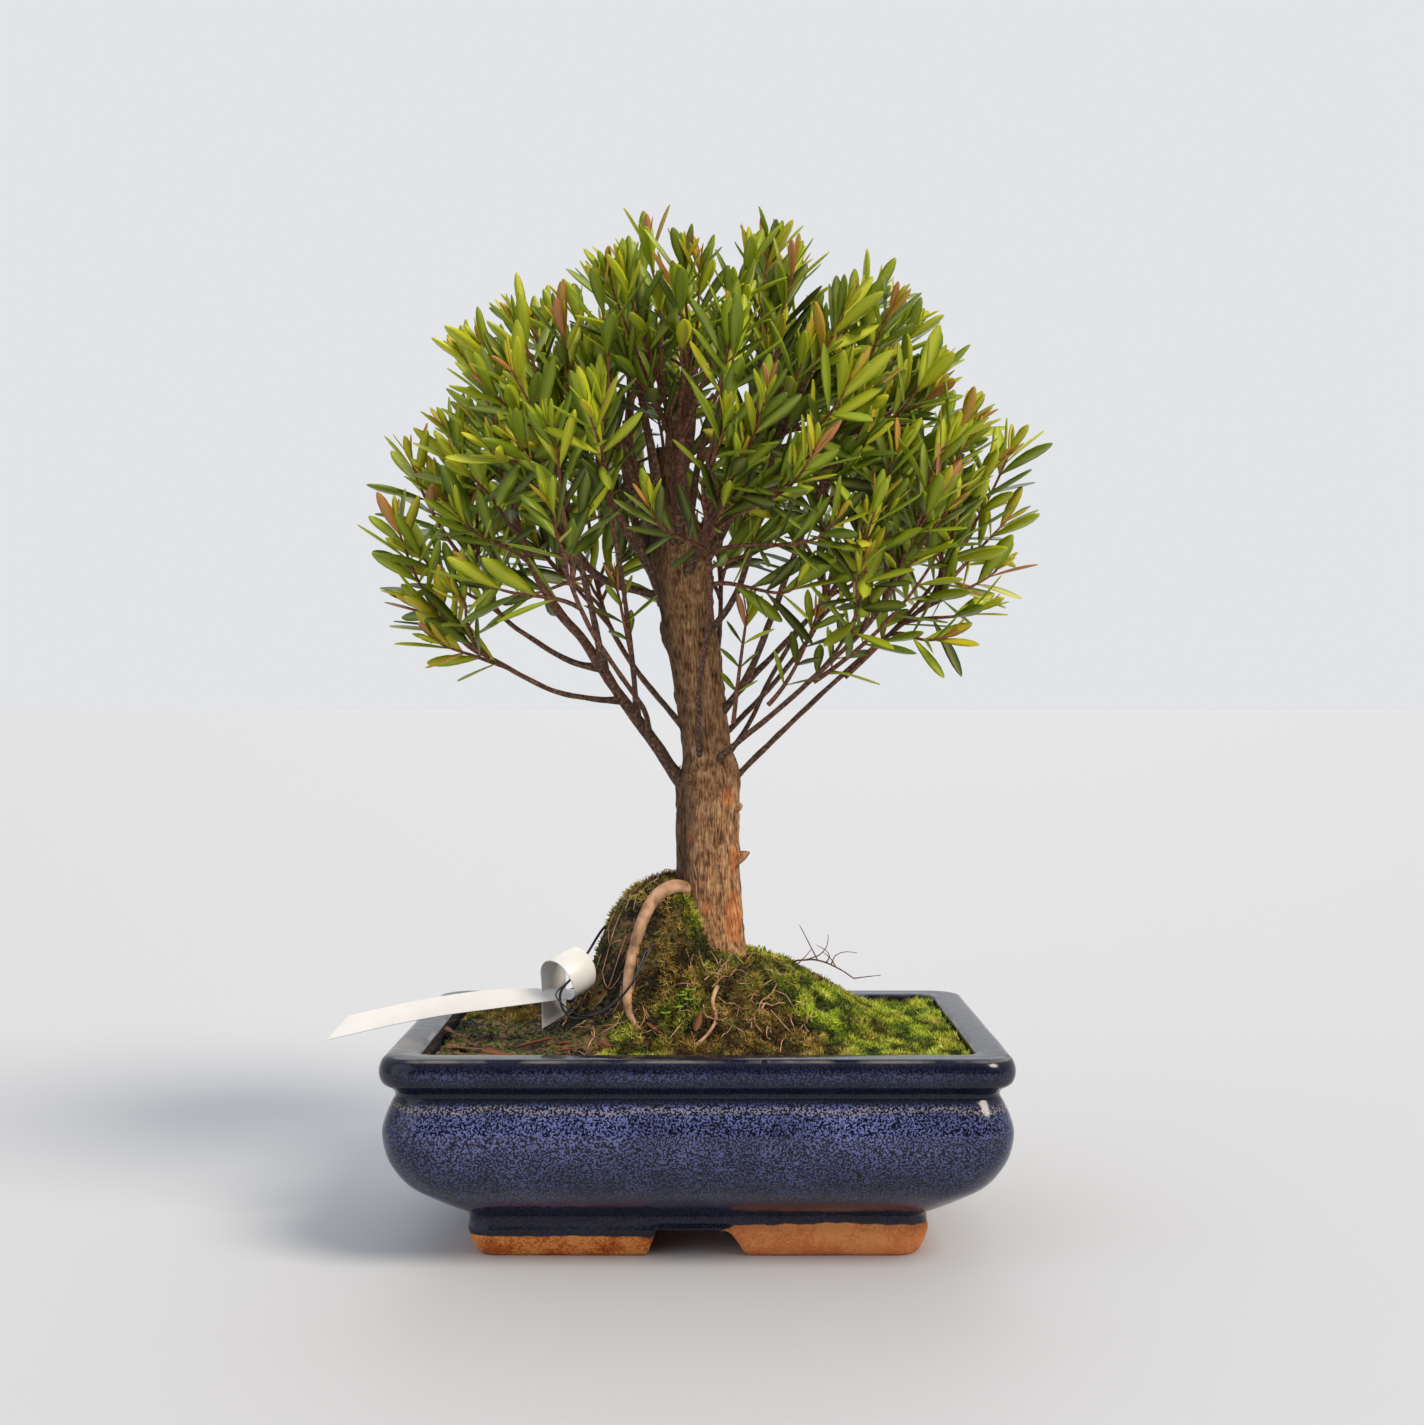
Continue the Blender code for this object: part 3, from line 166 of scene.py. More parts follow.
# Each limb: its radius at the base and at the tip, and its route.
LIMBS = {
    "left_low": (0.0030, 0.0016, [
        (-0.002, 0.0, 0.1000), (-0.0125, -0.002, 0.1125), (-0.0217, -0.004, 0.1262), (-0.0315, -0.007, 0.1395),
        (-0.0417, -0.010, 0.1550), (-0.0505, -0.012, 0.1683), (-0.0616, -0.014, 0.1816),
        (-0.0720, -0.015, 0.2000), (-0.0800, -0.016, 0.2230)]),
    "left_reach": (0.0013, 0.0009, [
        (-0.0335, -0.0075, 0.1420), (-0.0450, -0.014, 0.1425), (-0.0616, -0.017, 0.1457),
        (-0.0758, -0.019, 0.1523), (-0.0891, -0.021, 0.1599), (-0.0993, -0.022, 0.1652)]),
    "left_outer": (0.0014, 0.0009, [
        (-0.0425, -0.010, 0.1560), (-0.0560, -0.004, 0.1590), (-0.0720, 0.002, 0.1680),
        (-0.0880, 0.006, 0.1800), (-0.0990, 0.008, 0.1980), (-0.1060, 0.010, 0.2180)]),
    "left_rise": (0.0016, 0.0010, [
        (-0.0417, -0.010, 0.1550), (-0.0448, -0.0200, 0.1752), (-0.0510, -0.029, 0.2038),
        (-0.0565, -0.036, 0.2304), (-0.0620, -0.042, 0.2520)]),
    "left_inner": (0.0012, 0.0009, [
        (-0.0270, -0.0055, 0.1337), (-0.0290, -0.014, 0.1600), (-0.0320, -0.024, 0.1880),
        (-0.0360, -0.036, 0.2150), (-0.0400, -0.050, 0.2350)]),
    "left_stub": (0.0020, 0.0012, [
        (-0.0075, 0.002, 0.1860), (-0.0261, 0.004, 0.1905), (-0.0439, 0.010, 0.1971),
        (-0.0590, 0.017, 0.2127), (-0.0700, 0.024, 0.2393), (-0.0760, 0.030, 0.2630)]),
    "right_reach": (0.0014, 0.0009, [
        (0.0080, 0.0, 0.1000), (0.0404, -0.004, 0.1319), (0.0626, -0.007, 0.1528), (0.0803, -0.009, 0.1683),
        (0.0981, -0.010, 0.1829), (0.1080, -0.010, 0.1930)]),
    "right_front": (0.0014, 0.0009, [
        (0.0050, -0.006, 0.1130), (0.0182, -0.016, 0.1248), (0.0360, -0.022, 0.1395), (0.0537, -0.028, 0.1559),
        (0.0715, -0.035, 0.1736), (0.0850, -0.041, 0.1940)]),
    "right_back": (0.0012, 0.0009, [
        (0.0060, 0.004, 0.1080), (0.0218, 0.012, 0.1306), (0.0315, 0.018, 0.1506), (0.0448, 0.026, 0.1727),
        (0.0626, 0.036, 0.1949), (0.0760, 0.044, 0.2200)]),
    "right_mid": (0.0018, 0.0010, [
        (0.0030, 0.000, 0.1280), (0.0204, -0.004, 0.1506), (0.0306, -0.008, 0.1750), (0.0404, -0.013, 0.2016),
        (0.0510, -0.018, 0.2304), (0.0620, -0.022, 0.2570)]),
    "right_outer": (0.0014, 0.0010, [
        (0.0170, -0.0032, 0.1462), (0.0330, 0.002, 0.1620), (0.0500, 0.006, 0.1800), (0.0690, 0.010, 0.2030),
        (0.0850, 0.012, 0.2280)]),
    "right_rise": (0.0016, 0.0010, [
        (-0.0010, -0.004, 0.1660), (0.0138, -0.014, 0.1838), (0.0218, -0.022, 0.2038), (0.0280, -0.034, 0.2304),
        (0.0340, -0.048, 0.2550)]),
    "front": (0.0014, 0.0010, [
        (0.0010, -0.003, 0.1080), (-0.0002, -0.0150, 0.1300), (0.0005, -0.0190, 0.1506),
        (0.0040, -0.0260, 0.1700), (0.0050, -0.0420, 0.1900), (0.0040, -0.0600, 0.2100),
        (0.0020, -0.0740, 0.2300)]),
    "front_left": (0.0012, 0.0009, [
        (-0.0217, -0.004, 0.1262), (-0.0235, -0.022, 0.1380), (-0.0330, -0.042, 0.1530),
        (-0.0450, -0.060, 0.1730), (-0.0540, -0.074, 0.1960)]),
    "back_left": (0.0016, 0.0010, [
        (0.0010, 0.002, 0.1200), (-0.0140, 0.020, 0.1380), (-0.0300, 0.042, 0.1570), (-0.0440, 0.064, 0.1800),
        (-0.0520, 0.080, 0.2060)]),
    "back": (0.0017, 0.0010, [
        (0.0020, 0.003, 0.1350), (0.0060, 0.024, 0.1530), (0.0090, 0.048, 0.1720), (0.0100, 0.072, 0.1960),
        (0.0080, 0.088, 0.2220)]),
    "back_right": (0.0014, 0.0010, [
        (0.0030, 0.003, 0.1190), (0.0200, 0.022, 0.1350), (0.0380, 0.044, 0.1540), (0.0560, 0.066, 0.1780),
        (0.0640, 0.080, 0.2040)]),
    "top_left": (0.0034, 0.0016, [
        (-0.0085, -0.001, 0.2030), (-0.0245, -0.006, 0.2280), (-0.0340, -0.010, 0.2520),
        (-0.0430, -0.013, 0.2780)]),
    "top_back": (0.0032, 0.0016, [
        (-0.0095, 0.003, 0.2050), (-0.0120, 0.018, 0.2260), (-0.0140, 0.034, 0.2480), (-0.0140, 0.048, 0.2720)]),
    "top_front": (0.0028, 0.0014, [
        (-0.0085, -0.001, 0.1990), (-0.0080, -0.015, 0.2200), (-0.0080, -0.026, 0.2450),
        (-0.0060, -0.034, 0.2720)]),
    "top_right": (0.0032, 0.0016, [
        (-0.0070, 0.001, 0.1940), (0.0090, 0.004, 0.2250), (0.0170, 0.004, 0.2482), (0.0280, 0.004, 0.2760)]),
    "leader": (0.0038, 0.0018, [
        (-0.0125, 0.0015, 0.2320), (-0.0060, 0.0030, 0.2530), (-0.0030, 0.0050, 0.2740),
        (-0.0020, 0.0060, 0.2900)]),
}

# Shoots that stand out of the dome, by where their tips are. Most are on the thin twigs low at the sides.
STRAY_TIPS = [(-0.12065, -0.030, 0.1820), (-0.12445, -0.020, 0.2080), (-0.11020, -0.040, 0.1670),
              (-0.11970, 0.010, 0.2380), (0.13205, -0.008, 0.2010), (0.13870, 0.004, 0.2240),
              (0.12350, -0.020, 0.1820), (0.10640, -0.030, 0.1700), (0.13015, -0.010, 0.2460),
              (0.03420, -0.010, 0.3420), (-0.10260, -0.020, 0.2920), (0.09500, -0.012, 0.3050),
              (0.02280, -0.058, 0.2080), (0.04180, -0.070, 0.1920), (0.01140, -0.080, 0.2250),
              (-0.01900, -0.088, 0.2200)]

# Long shoots with leaves set far apart, low at the sides and beside the trunk: the stem's four control points,
# the distance between its pairs of leaves, and the size of its leaves.
LONG_SHOOTS = [
    ([(0.0640, -0.0080, 0.1520), (0.0900, -0.0100, 0.1760), (0.1180, -0.0100, 0.2050), (0.1370, -0.0080, 0.2527)],
     0.0115, 1.05),
    ([(0.0500, -0.0160, 0.1500), (0.0740, -0.0240, 0.1660), (0.0960, -0.0260, 0.1880), (0.1080, -0.0240, 0.2160)],
     0.0090, 0.90),
    ([(-0.0940, -0.0215, 0.1620), (-0.1080, -0.0220, 0.1700), (-0.1220, -0.0200, 0.1880), (-0.1310, -0.0180, 0.2200)],
     0.0058, 0.95),
    ([(-0.0990, 0.0060, 0.1980), (-0.1120, 0.0060, 0.2120), (-0.1230, 0.0040, 0.2300), (-0.1280, 0.0020, 0.2500)],
     0.0070, 1.05),
    ([(0.0150, -0.0170, 0.1320), (0.0170, -0.0200, 0.1500), (0.0190, -0.0210, 0.1680), (0.0220, -0.0220, 0.1850)],
     0.0100, 0.62),
    ([(0.0300, -0.0200, 0.1400), (0.0400, -0.0230, 0.1500), (0.0470, -0.0260, 0.1660), (0.0520, -0.0280, 0.1830)],
     0.0090, 0.70),
    ([(0.0480, -0.0100, 0.1500), (0.0570, -0.0120, 0.1580), (0.0660, -0.0140, 0.1700), (0.0700, -0.0150, 0.1850)],
     0.0080, 0.75),
    ([(-0.0290, -0.0140, 0.1600), (-0.0310, -0.0190, 0.1700), (-0.0330, -0.0220, 0.1800), (-0.0360, -0.0240, 0.1950)],
     0.0080, 0.70),
]

# The roots and the clover, in plan. The bare root has its radii too.
BARE_ROOT = [(0.000, -0.0060), (-0.0110, -0.0150), (-0.0215, -0.0200), (-0.0290, -0.0270), (-0.0300, -0.0350),
             (-0.0270, -0.0430), (-0.0230, -0.0500)]
BARE_ROOT_RADII = [0.0027, 0.0031, 0.0029, 0.0025, 0.0018, 0.0011, 0.0008]
THIN_ROOT = [(0.0080, -0.0350), (0.0060, -0.0420), (0.0075, -0.0490), (0.0040, -0.0560), (-0.0020, -0.0620)]
ROOT_HAIRS = 150
CLOVER_PLACE = (-0.0085, -0.0450)
CLOVER_STEMS = 6
DRY_LEAVES = [(-0.100, -0.050), (-0.076, -0.049), (-0.045, -0.055), (-0.052, -0.046), (-0.034, -0.058),
              (-0.088, -0.030), (-0.060, -0.066), (-0.020, -0.066), (0.0010, -0.0480), (-0.0140, -0.0560),
              (-0.1040, -0.0380), (-0.0900, -0.0600)]
# The middle of the label's loop: its place in plan, its height over the soil there, its radius. Then the widths of
# the label's strip and of its head, its thickness and the rounding of its edges, and the wire's route, with its
# heights from the middle of the loop.
LOOP_PLACE = (-0.0560, -0.0190)
LOOP_LIFT = 0.0228
LOOP_RADIUS = 0.0092
STRIP_WIDTH = 0.0096
HEAD_WIDTH = 0.0145
LABEL_THICKNESS = 0.00055
LABEL_EDGE = 0.00015
TIE_WIRE = [(-0.0330, 0.0060, 0.0170), (-0.0412, 0.0060, 0.0185), (-0.0490, 0.0000, 0.0075),
            (-0.0545, -0.0120, -0.0010), (-0.0590, -0.0260, -0.0060), (-0.0580, -0.0330, -0.0115),
            (-0.0530, -0.0380, -0.0155), (-0.0440, -0.0420, -0.0135), (-0.0350, -0.0430, -0.0080),
            (-0.0285, -0.0420, -0.0010), (-0.0250, -0.0360, 0.0060), (-0.0220, -0.0300, 0.0130)]
DEAD_TWIG = [(0.0360, -0.0040, 0.0060), (0.0400, -0.0060, 0.0250), (0.0470, -0.0070, 0.0280),
             (0.0540, -0.0075, 0.0275), (0.0620, -0.0080, 0.0240), (0.0680, -0.0080, 0.0200)]
# Half the floor's width. Then the camera's place across, its angle from straight down, its sensor's width and its
# lens, both in millimetres.
FLOOR_REACH = 60
CAMERA_X = 0.0058
CAMERA_ANGLE = 89.7
SENSOR = 36.0
LENS = 46.2


def colour(code):
    """An sRGB hex colour as linear red, green, blue and alpha."""
    channels = [int(code[i:i + 2], 16) / 255 for i in (1, 3, 5)]
    return (*[c / 12.92 if c <= 0.04045 else ((c + 0.055) / 1.055) ** 2.4 for c in channels], 1.0)


# ---------------------------------------------------------------- settings
class BonsaiPotSettings(bpy.types.PropertyGroup):
    """Sizes and colours of the glazed pot"""
    glaze_dark: FloatVectorProperty(name="Dark glaze", description="Colour of the glaze where it ran thin or dark",
                                    subtype="COLOR", size=3, default=colour("#0a0d20")[:3])
    glaze_light: FloatVectorProperty(name="Speckle", description="Colour of the pale specks in the glaze",
                                     subtype="COLOR", size=3, default=colour("#6a74aa")[:3])
    speck: FloatProperty(name="Speck size", description="Distance from one pale speck to the next",
                         default=0.00080, min=0.0004, unit="LENGTH")
    column: FloatProperty(name="Mesh step", description="Width of one column of faces around the pot",
                          default=0.0020, min=0.0005, unit="LENGTH")


class BonsaiGroundSettings(bpy.types.PropertyGroup):
    """Sizes of the soil and the moss"""
    cell: FloatProperty(name="Soil cell", description="Width of one face of the soil's surface",
                        default=0.0012, min=0.0005, unit="LENGTH")
    sprig: FloatProperty(name="Moss sprig", description="Height of one sprig of moss",
                         default=0.0035, min=0.0005, unit="LENGTH")
    sprigs: IntProperty(name="Sprigs", description="Number of moss sprigs on each patch", default=9600, min=100)
    crumbs: IntProperty(name="Crumbs", description="Number of loose crumbs on the soil", default=2600, min=10)


class BonsaiTreeSettings(bpy.types.PropertyGroup):
    """Sizes of the tree"""
    shoots: IntProperty(name="Shoots", description="Number of leafy shoots in the dome", default=214, min=10)
    leaf: FloatProperty(name="Leaf length", description="Length of a full-grown leaf", default=0.0268,
                        min=0.005, unit="LENGTH")
    seed: IntProperty(name="Seed", description="Seed of the tree's growth", default=7)


class BonsaiStageSettings(bpy.types.PropertyGroup):
    """The floor and the camera"""
    distance: FloatProperty(name="Camera distance", description="From the camera to the middle of the pot",
                            default=0.810, min=0.2, unit="LENGTH")
    height: FloatProperty(name="Camera height", description="From the floor to the camera", default=0.2289,
                          min=0.0, unit="LENGTH")


# ---------------------------------------------------------------- materials
def add_node(tree, kind, links=None, stops=None, **settings):
    """Adds a node. links gives each input, by name or number, a value or the output that feeds it."""
    node = tree.nodes.new(kind)
    for key, value in settings.items():
        setattr(node, key, value)
    for key, value in (links or {}).items():
        if isinstance(value, bpy.types.NodeSocket):
            tree.links.new(value, node.inputs[key])
        else:
            node.inputs[key].default_value = value
    if stops:
        ramp = node.color_ramp
        while len(ramp.elements) < len(stops):
            ramp.elements.new(0.5)
        for element, (position, shade) in zip(ramp.elements, stops):
            element.position = position
            element.color = shade
    return node


def shade_of(value):
    """A hex code or a grey level as a colour. Anything else is left as it is."""
    if isinstance(value, str):
        return colour(value)
    return (value, value, value, 1.0) if isinstance(value, float) else value


class Finish:
    """A material around one Principled shader. Each method adds a node and gives the output that carries on."""

    def __init__(self, name, roughness, ior=1.5, metallic=0.0):
        self.material = bpy.data.materials.new(name)
        self.material.use_nodes = True
        self.tree = self.material.node_tree
        self.shader = self.tree.nodes["Principled BSDF"]
        for key, value in (("Roughness", roughness), ("IOR", ior), ("Metallic", metallic)):
            self.shader.inputs[key].default_value = value

    @cached_property
    def place(self):
        return add_node(self.tree, "ShaderNodeTexCoord").outputs["Object"]

    @cached_property
    def axes(self):
        return add_node(self.tree, "ShaderNodeSeparateXYZ", {0: self.place}).outputs

    def noise(self, scale, detail, roughness=0.5, stretch=None):
        place = self.place
        if stretch:
            place = add_node(self.tree, "ShaderNodeMapping", {"Vector": place, "Scale": stretch}).outputs[0]
        return add_node(self.tree, "ShaderNodeTexNoise", {"Vector": place, "Scale": scale, "Detail": detail,
                                                          "Roughness": roughness}).outputs[0]

    def value(self, name):
        """A value that the mesh's vertices carry."""
        return add_node(self.tree, "ShaderNodeAttribute", attribute_name=name).outputs["Fac"]

    def calc(self, operation, *values, clamp=False):
        return add_node(self.tree, "ShaderNodeMath", dict(enumerate(values)), operation=operation,
                        use_clamp=clamp).outputs[0]

    def times(self, first, second):
        return self.calc("MULTIPLY", first, second)

    def off(self, value, level):
        """How far a value is from a level, either way."""
        return self.calc("ABSOLUTE", self.calc("SUBTRACT", value, level))

    def fit(self, value, low, high, start=0.0, end=1.0, kind="LINEAR"):
        """Maps low to high onto start to end, and holds the ends beyond them."""
        return add_node(self.tree, "ShaderNodeMapRange", {"Value": value, "From Min": low, "From Max": high,
                                                          "To Min": start, "To Max": end},
                        interpolation_type=kind).outputs[0]

    def ramp(self, value, *stops):
        return add_node(self.tree, "ShaderNodeValToRGB", {0: value},
                        stops=[(position, shade_of(shade)) for position, shade in stops]).outputs[0]

    def mix(self, share, first, second):
        return add_node(self.tree, "ShaderNodeMix", {0: share, 6: shade_of(first), 7: shade_of(second)},
                        data_type="RGBA").outputs[2]

    def blend(self, share, first, second):
        """Like mix, for single values."""
        return add_node(self.tree, "ShaderNodeMix", {0: share, 2: first, 3: second}).outputs[0]

    def done(self, base, height=None, strength=1.0, depth=0.0, gloss=None):
        """Joins the colour, the bump and the roughness to the shader, and gives the material."""
        feeds = {"Base Color": base, "Roughness": gloss}
        if height is not None:
            feeds["Normal"] = add_node(self.tree, "ShaderNodeBump", {"Strength": strength, "Distance": depth,
                                                                     "Height": height}).outputs[0]
        for key, output in feeds.items():
            if output is not None:
                self.tree.links.new(output, self.shader.inputs[key])
        return self.material


def glazed_stoneware(pot):
    """Stoneware dipped in a dark blue glaze with pale specks. The feet are bare clay, where the glaze was wiped
    off for firing. The glaze is darker on the rim and in the groove. Painted shade darkens it towards both ends and
    down the belly, and it is paler under the shoulder, partly painted light and partly glaze run thin."""
    ware = Finish("glazed_stoneware", 0.16, ior=1.40)
    x, z = ware.axes["X"], ware.axes["Z"]
    clouds = ware.noise(45.0, 3.0)
    # Brightness of the specks in each band of the glaze, by share of the pot's height. Painted light raises it up
    #     # the belly to the shoulder and painted shade lowers it towards the foot. It is low in the groove and on the
    #     rim.
    painted_light_bands = ware.ramp(ware.fit(z, 0.0, POT_HEIGHT), (0.00, 0.12), (0.24, 0.16), (0.38, 0.42), (0.60, 0.80),
                      (0.70, 0.95), (0.775, 1.0), (0.795, 0.10), (0.86, 0.05), (0.92, 0.36), (0.965, 0.06),
                      (1.00, 0.10))
    specks = ware.fit(ware.noise(1.0 / pot.speck, 1.0), 0.45, 0.60)
    # The specks thin out towards the corners: painted shade where the pot turns away from the light.
    painted_end_shade = ware.fit(ware.calc("ABSOLUTE", x), POT_HALF_LENGTH - 0.040, POT_HALF_LENGTH, 1.0, 0.50)
    amount = ware.times(ware.times(painted_light_bands, painted_end_shade), ware.fit(clouds, 0.30, 0.70, 0.52, 1.12))
    glaze = ware.mix(ware.times(specks, amount), (*pot.glaze_dark, 1), (*pot.glaze_light, 1))
    # The glaze breaks to brown in a wavy line along the shoulder, under the groove.
    shoulder = ware.calc("ADD", ware.calc("SUBTRACT", z, SHOULDER_LINE), ware.times(clouds, 0.006))
    line = ware.fit(ware.off(shoulder, 0.003), 0.0003, 0.0016, 0.55, 0.0)
    browned = ware.mix(ware.times(line, specks), glaze, "#9a8870")
    # A pale tan line along the rim's upper edge: a painted highlight, where the glaze also runs thin.
    painted_rim_highlight = ware.fit(ware.off(z, POT_HEIGHT - 0.0010), 0.0001, 0.0007, 0.42, 0.0)
    edged = ware.mix(ware.times(painted_rim_highlight, ware.fit(clouds, 0.42, 0.58)), browned, "#a39a8e")
    # Dark pits where the glaze crawled, about 3 mm wide and 24 mm apart.
    pits = add_node(ware.tree, "ShaderNodeTexVoronoi", {"Vector": ware.place, "Scale": 42.0})
    pitted = ware.ramp(pits.outputs["Distance"], (0.0, 1.0), (0.052, 1.0), (0.066, 0.0), (1.0, 0.0))
    holed = ware.mix(pitted, edged, "#15100e")
    # Bare clay on the feet: low at the left foot, and high at the right one, which is paler.
    grains, stains = ware.noise(900.0, 4.0, 0.7), ware.noise(80.0, 3.0)
    clay = ware.ramp(ware.calc("ADD", grains, stains), (0.68, "#5a2a14"), (0.84, "#b65a22"), (1.0, "#d07430"),
                     (1.0, "#de9450"))
    paler_right_clay = ware.mix(ware.fit(x, 0.0, 0.016, 0.0, 0.42), clay, "#f4a066")
    edge = ware.fit(x, 0.004, 0.016, 0.0068, 0.0118, "SMOOTHSTEP")
    limit = ware.calc("ADD", edge, ware.times(stains, 0.0036))
    covered = ware.fit(ware.calc("SUBTRACT", z, limit), 0.0003, 0.0008)
    dipped = ware.calc("SUBTRACT", covered, ware.value("bare"), clamp=True)
    relief = ware.blend(dipped, grains, ware.noise(160.0, 2.0))
    return ware.done(ware.mix(dipped, paler_right_clay, holed), relief, 0.38, 0.0005,
                     gloss=ware.fit(dipped, 0.0, 1.0, 0.85, 0.15))


def damp_soil():
    """Peat and bark mix: nearly black and damp in the hollows, browner on the crumbs that have dried."""
    soil = Finish("damp_potting_soil", 0.92)
    crumbs = soil.noise(420.0, 6.0, 0.75)
    both = soil.calc("ADD", crumbs, soil.noise(60.0, 3.0))
    earth = soil.ramp(both, (0.70, "#0e0906"), (0.95, "#2a1c12"), (1.0, "#4c3522"), (1.0, "#7a5a3a"))
    green = soil.ramp(both, (0.75, "#12140a"), (1.0, "#2c3410"), (1.0, "#4a5a18"))
    return soil.done(soil.mix(soil.value("cover"), earth, green), crumbs, 0.9, 0.0012)


def living_moss():
    """Moss in small sprigs. Growing tips are a bright yellow green, and older or dry ones olive to brown. Painted
    light makes the cushions' tops paler, and painted shade darkens the dips between them.
    """
    moss = Finish("living_moss", 0.75)
    # Painted light and shade: the cushions' tops are painted lighter and the dips between them darker.
    painted_cushion_light = moss.times(moss.value("cushion"), 0.62)
    shade = moss.calc("MULTIPLY_ADD", moss.value("shade"), 0.42, painted_cushion_light)
    dry = moss.ramp(shade, (0.0, "#1d140a"), (0.35, "#4a3213"), (0.7, "#846826"), (1.0, "#c4a658"))
    fresh = moss.ramp(shade, (0.0, "#151f06"), (0.35, "#4f6a10"), (0.66, "#9db31c"), (1.0, "#dbe45a"))
    return moss.done(moss.mix(moss.value("lush"), dry, fresh))


def fibrous_bark():
    """Old bark in thin upright fibres: grey brown, darker in the furrows, with orange where a flake came off, and
    painted shade on its left side and high up under the crown.
    """
    bark = Finish("fibrous_bark", 0.88)
    # Fibres are about 0.8 mm wide and eight times as long, and flakes about 4 mm.
    fibres, flakes = bark.noise(1250.0, 5.0, 0.7, stretch=(1.0, 1.0, 0.12)), bark.noise(260.0, 5.0)
    grain = bark.blend(0.36, fibres, flakes)
    outer = bark.ramp(grain, (0.37, "#35200f"), (0.45, "#7d5434"), (0.52, "#ad7f56"), (0.62, "#d3ae84"))
    # Loose fibres are paler than the bark under them, each by its own amount.
    strands = bark.mix(bark.value("tone"), outer, "#b9906a")
    under = bark.ramp(grain, (0.40, "#8a4f2c"), (0.50, "#bd7542"), (0.60, "#dc9c66"))
    peeled = bark.mix(bark.value("peel"), strands, under)
    # Painted shade and the bark's dark streaks pull the colour towards near black.
    return bark.done(bark.mix(bark.value("dark"), peeled, "#21150e"), grain, 0.9, 0.0009)


def young_bark():
    """Bark of limbs and twigs: brown with fine cracks on old wood, smooth and reddish on this year's growth."""
    if "young_bark" in bpy.data.materials:
        return bpy.data.materials["young_bark"]
    bark = Finish("young_bark", 0.70)
    grain = bark.noise(700.0, 4.0)
    old = bark.ramp(grain, (0.32, "#2a1a14"), (0.52, "#59402f"), (0.72, "#8d7058"))
    young = bark.ramp(grain, (0.35, "#6b3528"), (0.65, "#a8694a"))
    return bark.done(bark.mix(bark.value("youth"), old, young), grain, 0.6, 0.0004)


def root_bark():
    """Bare roots, weathered by the air: tan with pinkish worn places and fine dark cracks."""
    bark = Finish("weathered_root", 0.72)
    grain = bark.noise(170.0, 6.0)
    worn = bark.ramp(grain, (0.32, "#7c5a40"), (0.46, "#a9835f"), (0.58, "#c99c7c"), (0.75, "#dcb393"))
    return bark.done(worn, grain, 0.7, 0.0005)


def waxy_leaf():
    """Small tough leaves with a waxy face: deep green when old, and darker where painted shade falls on them deep in
    the crown, yellow green when young, bronze at the tips.
    """
    leaf = Finish("waxy_leaf", 0.38, ior=1.40)
    blade = leaf.ramp(leaf.value("tint"), (0.0, "#213a06"), (0.22, "#5b7a0a"), (0.45, "#9bb010"),
                      (0.66, "#cbd022"), (0.82, "#c9ae24"), (0.92, "#c2843a"), (1.0, "#c67a58"))
    stalk = leaf.mix(leaf.fit(leaf.value("along"), 0.0, 0.16, 0.5, 0.0), blade, "#a8603c")
    return leaf.done(leaf.mix(leaf.times(leaf.value("rib"), 0.28), stalk, "#c2b95a"))


def plain(name, code, roughness, metallic=0.0, grain=None):
    """A finish with one colour, slightly clouded. grain is the width and the height of its bumps, if it has any."""
    made = Finish(name, roughness, metallic=metallic)
    base = colour(code)
    tone = made.mix(made.noise(120.0, 3.0), (*[c * 0.82 for c in base[:3]], 1.0), base)
    if not grain:
        return made.done(tone)
    width, height = grain
    return made.done(tone, made.noise(1 / width, 3.0), 1.0, height)


# ---------------------------------------------------------------- meshes
def linked(name, data):
    """A new object in the scene."""
    made = bpy.data.objects.new(name, data)
    bpy.context.scene.collection.objects.link(made)
    return made


def mesh_object(name, verts, faces, values=None, smooth=True):
    """An object from plain lists. values gives each named value one number per vertex."""
    mesh = bpy.data.meshes.new(name)
    mesh.from_pydata([tuple(v) for v in verts], [], [tuple(f) for f in faces])
    for key, numbers in (values or {}).items():
        layer = mesh.attributes.new(key, "FLOAT", "POINT")
        layer.data.foreach_set("value", np.asarray(numbers, np.float32))
    if smooth:
        mesh.shade_smooth()
    mesh.update()
    return linked(name, mesh)


def solid_object(name, bm):
    """An object from a bmesh, which is used up."""
    mesh = bpy.data.meshes.new(name)
    bm.to_mesh(mesh)
    bm.free()
    return linked(name, mesh)


def bake(piece):
    """Puts the mesh that a piece's modifiers make in the place of its own, and gives that mesh."""
    mesh = bpy.data.meshes.new_from_object(piece.evaluated_get(bpy.context.evaluated_depsgraph_get()))
    piece.modifiers.clear()
    first, piece.data = piece.data, mesh
    bpy.data.meshes.remove(first)
    mesh.name = piece.name
    return mesh


def paint(piece, finish):
    piece.data.materials.clear()
    piece.data.materials.append(finish)


def settle(piece, finish, slot, *nodes):
    """Gives a finished piece its material and its place in the part, and hides the parts that it stands for."""
    paint(piece, finish)
    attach(piece, "root")
    if nodes:
        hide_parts(*nodes)


def smooth_route(points, step):
    """Points about a step apart on a Catmull-Rom curve through the given ones. A point may carry its radius."""
    p = np.array(points, float)
    p = np.vstack([2 * p[0] - p[1], p, 2 * p[-1] - p[-2]])
    route = []
    for k in range(1, len(p) - 2):
        count = max(1, round(float(np.linalg.norm(p[k + 1][:3] - p[k][:3])) / step))
        for t in np.arange(count) / count:
            route.append(0.5 * (2 * p[k] + (p[k + 1] - p[k - 1]) * t
                                + (2 * p[k - 1] - 5 * p[k] + 4 * p[k + 1] - p[k + 2]) * t ** 2
                                + (3 * p[k] - p[k - 1] - 3 * p[k + 1] + p[k + 2]) * t ** 3))
    route.append(p[-2])
    return np.array(route)


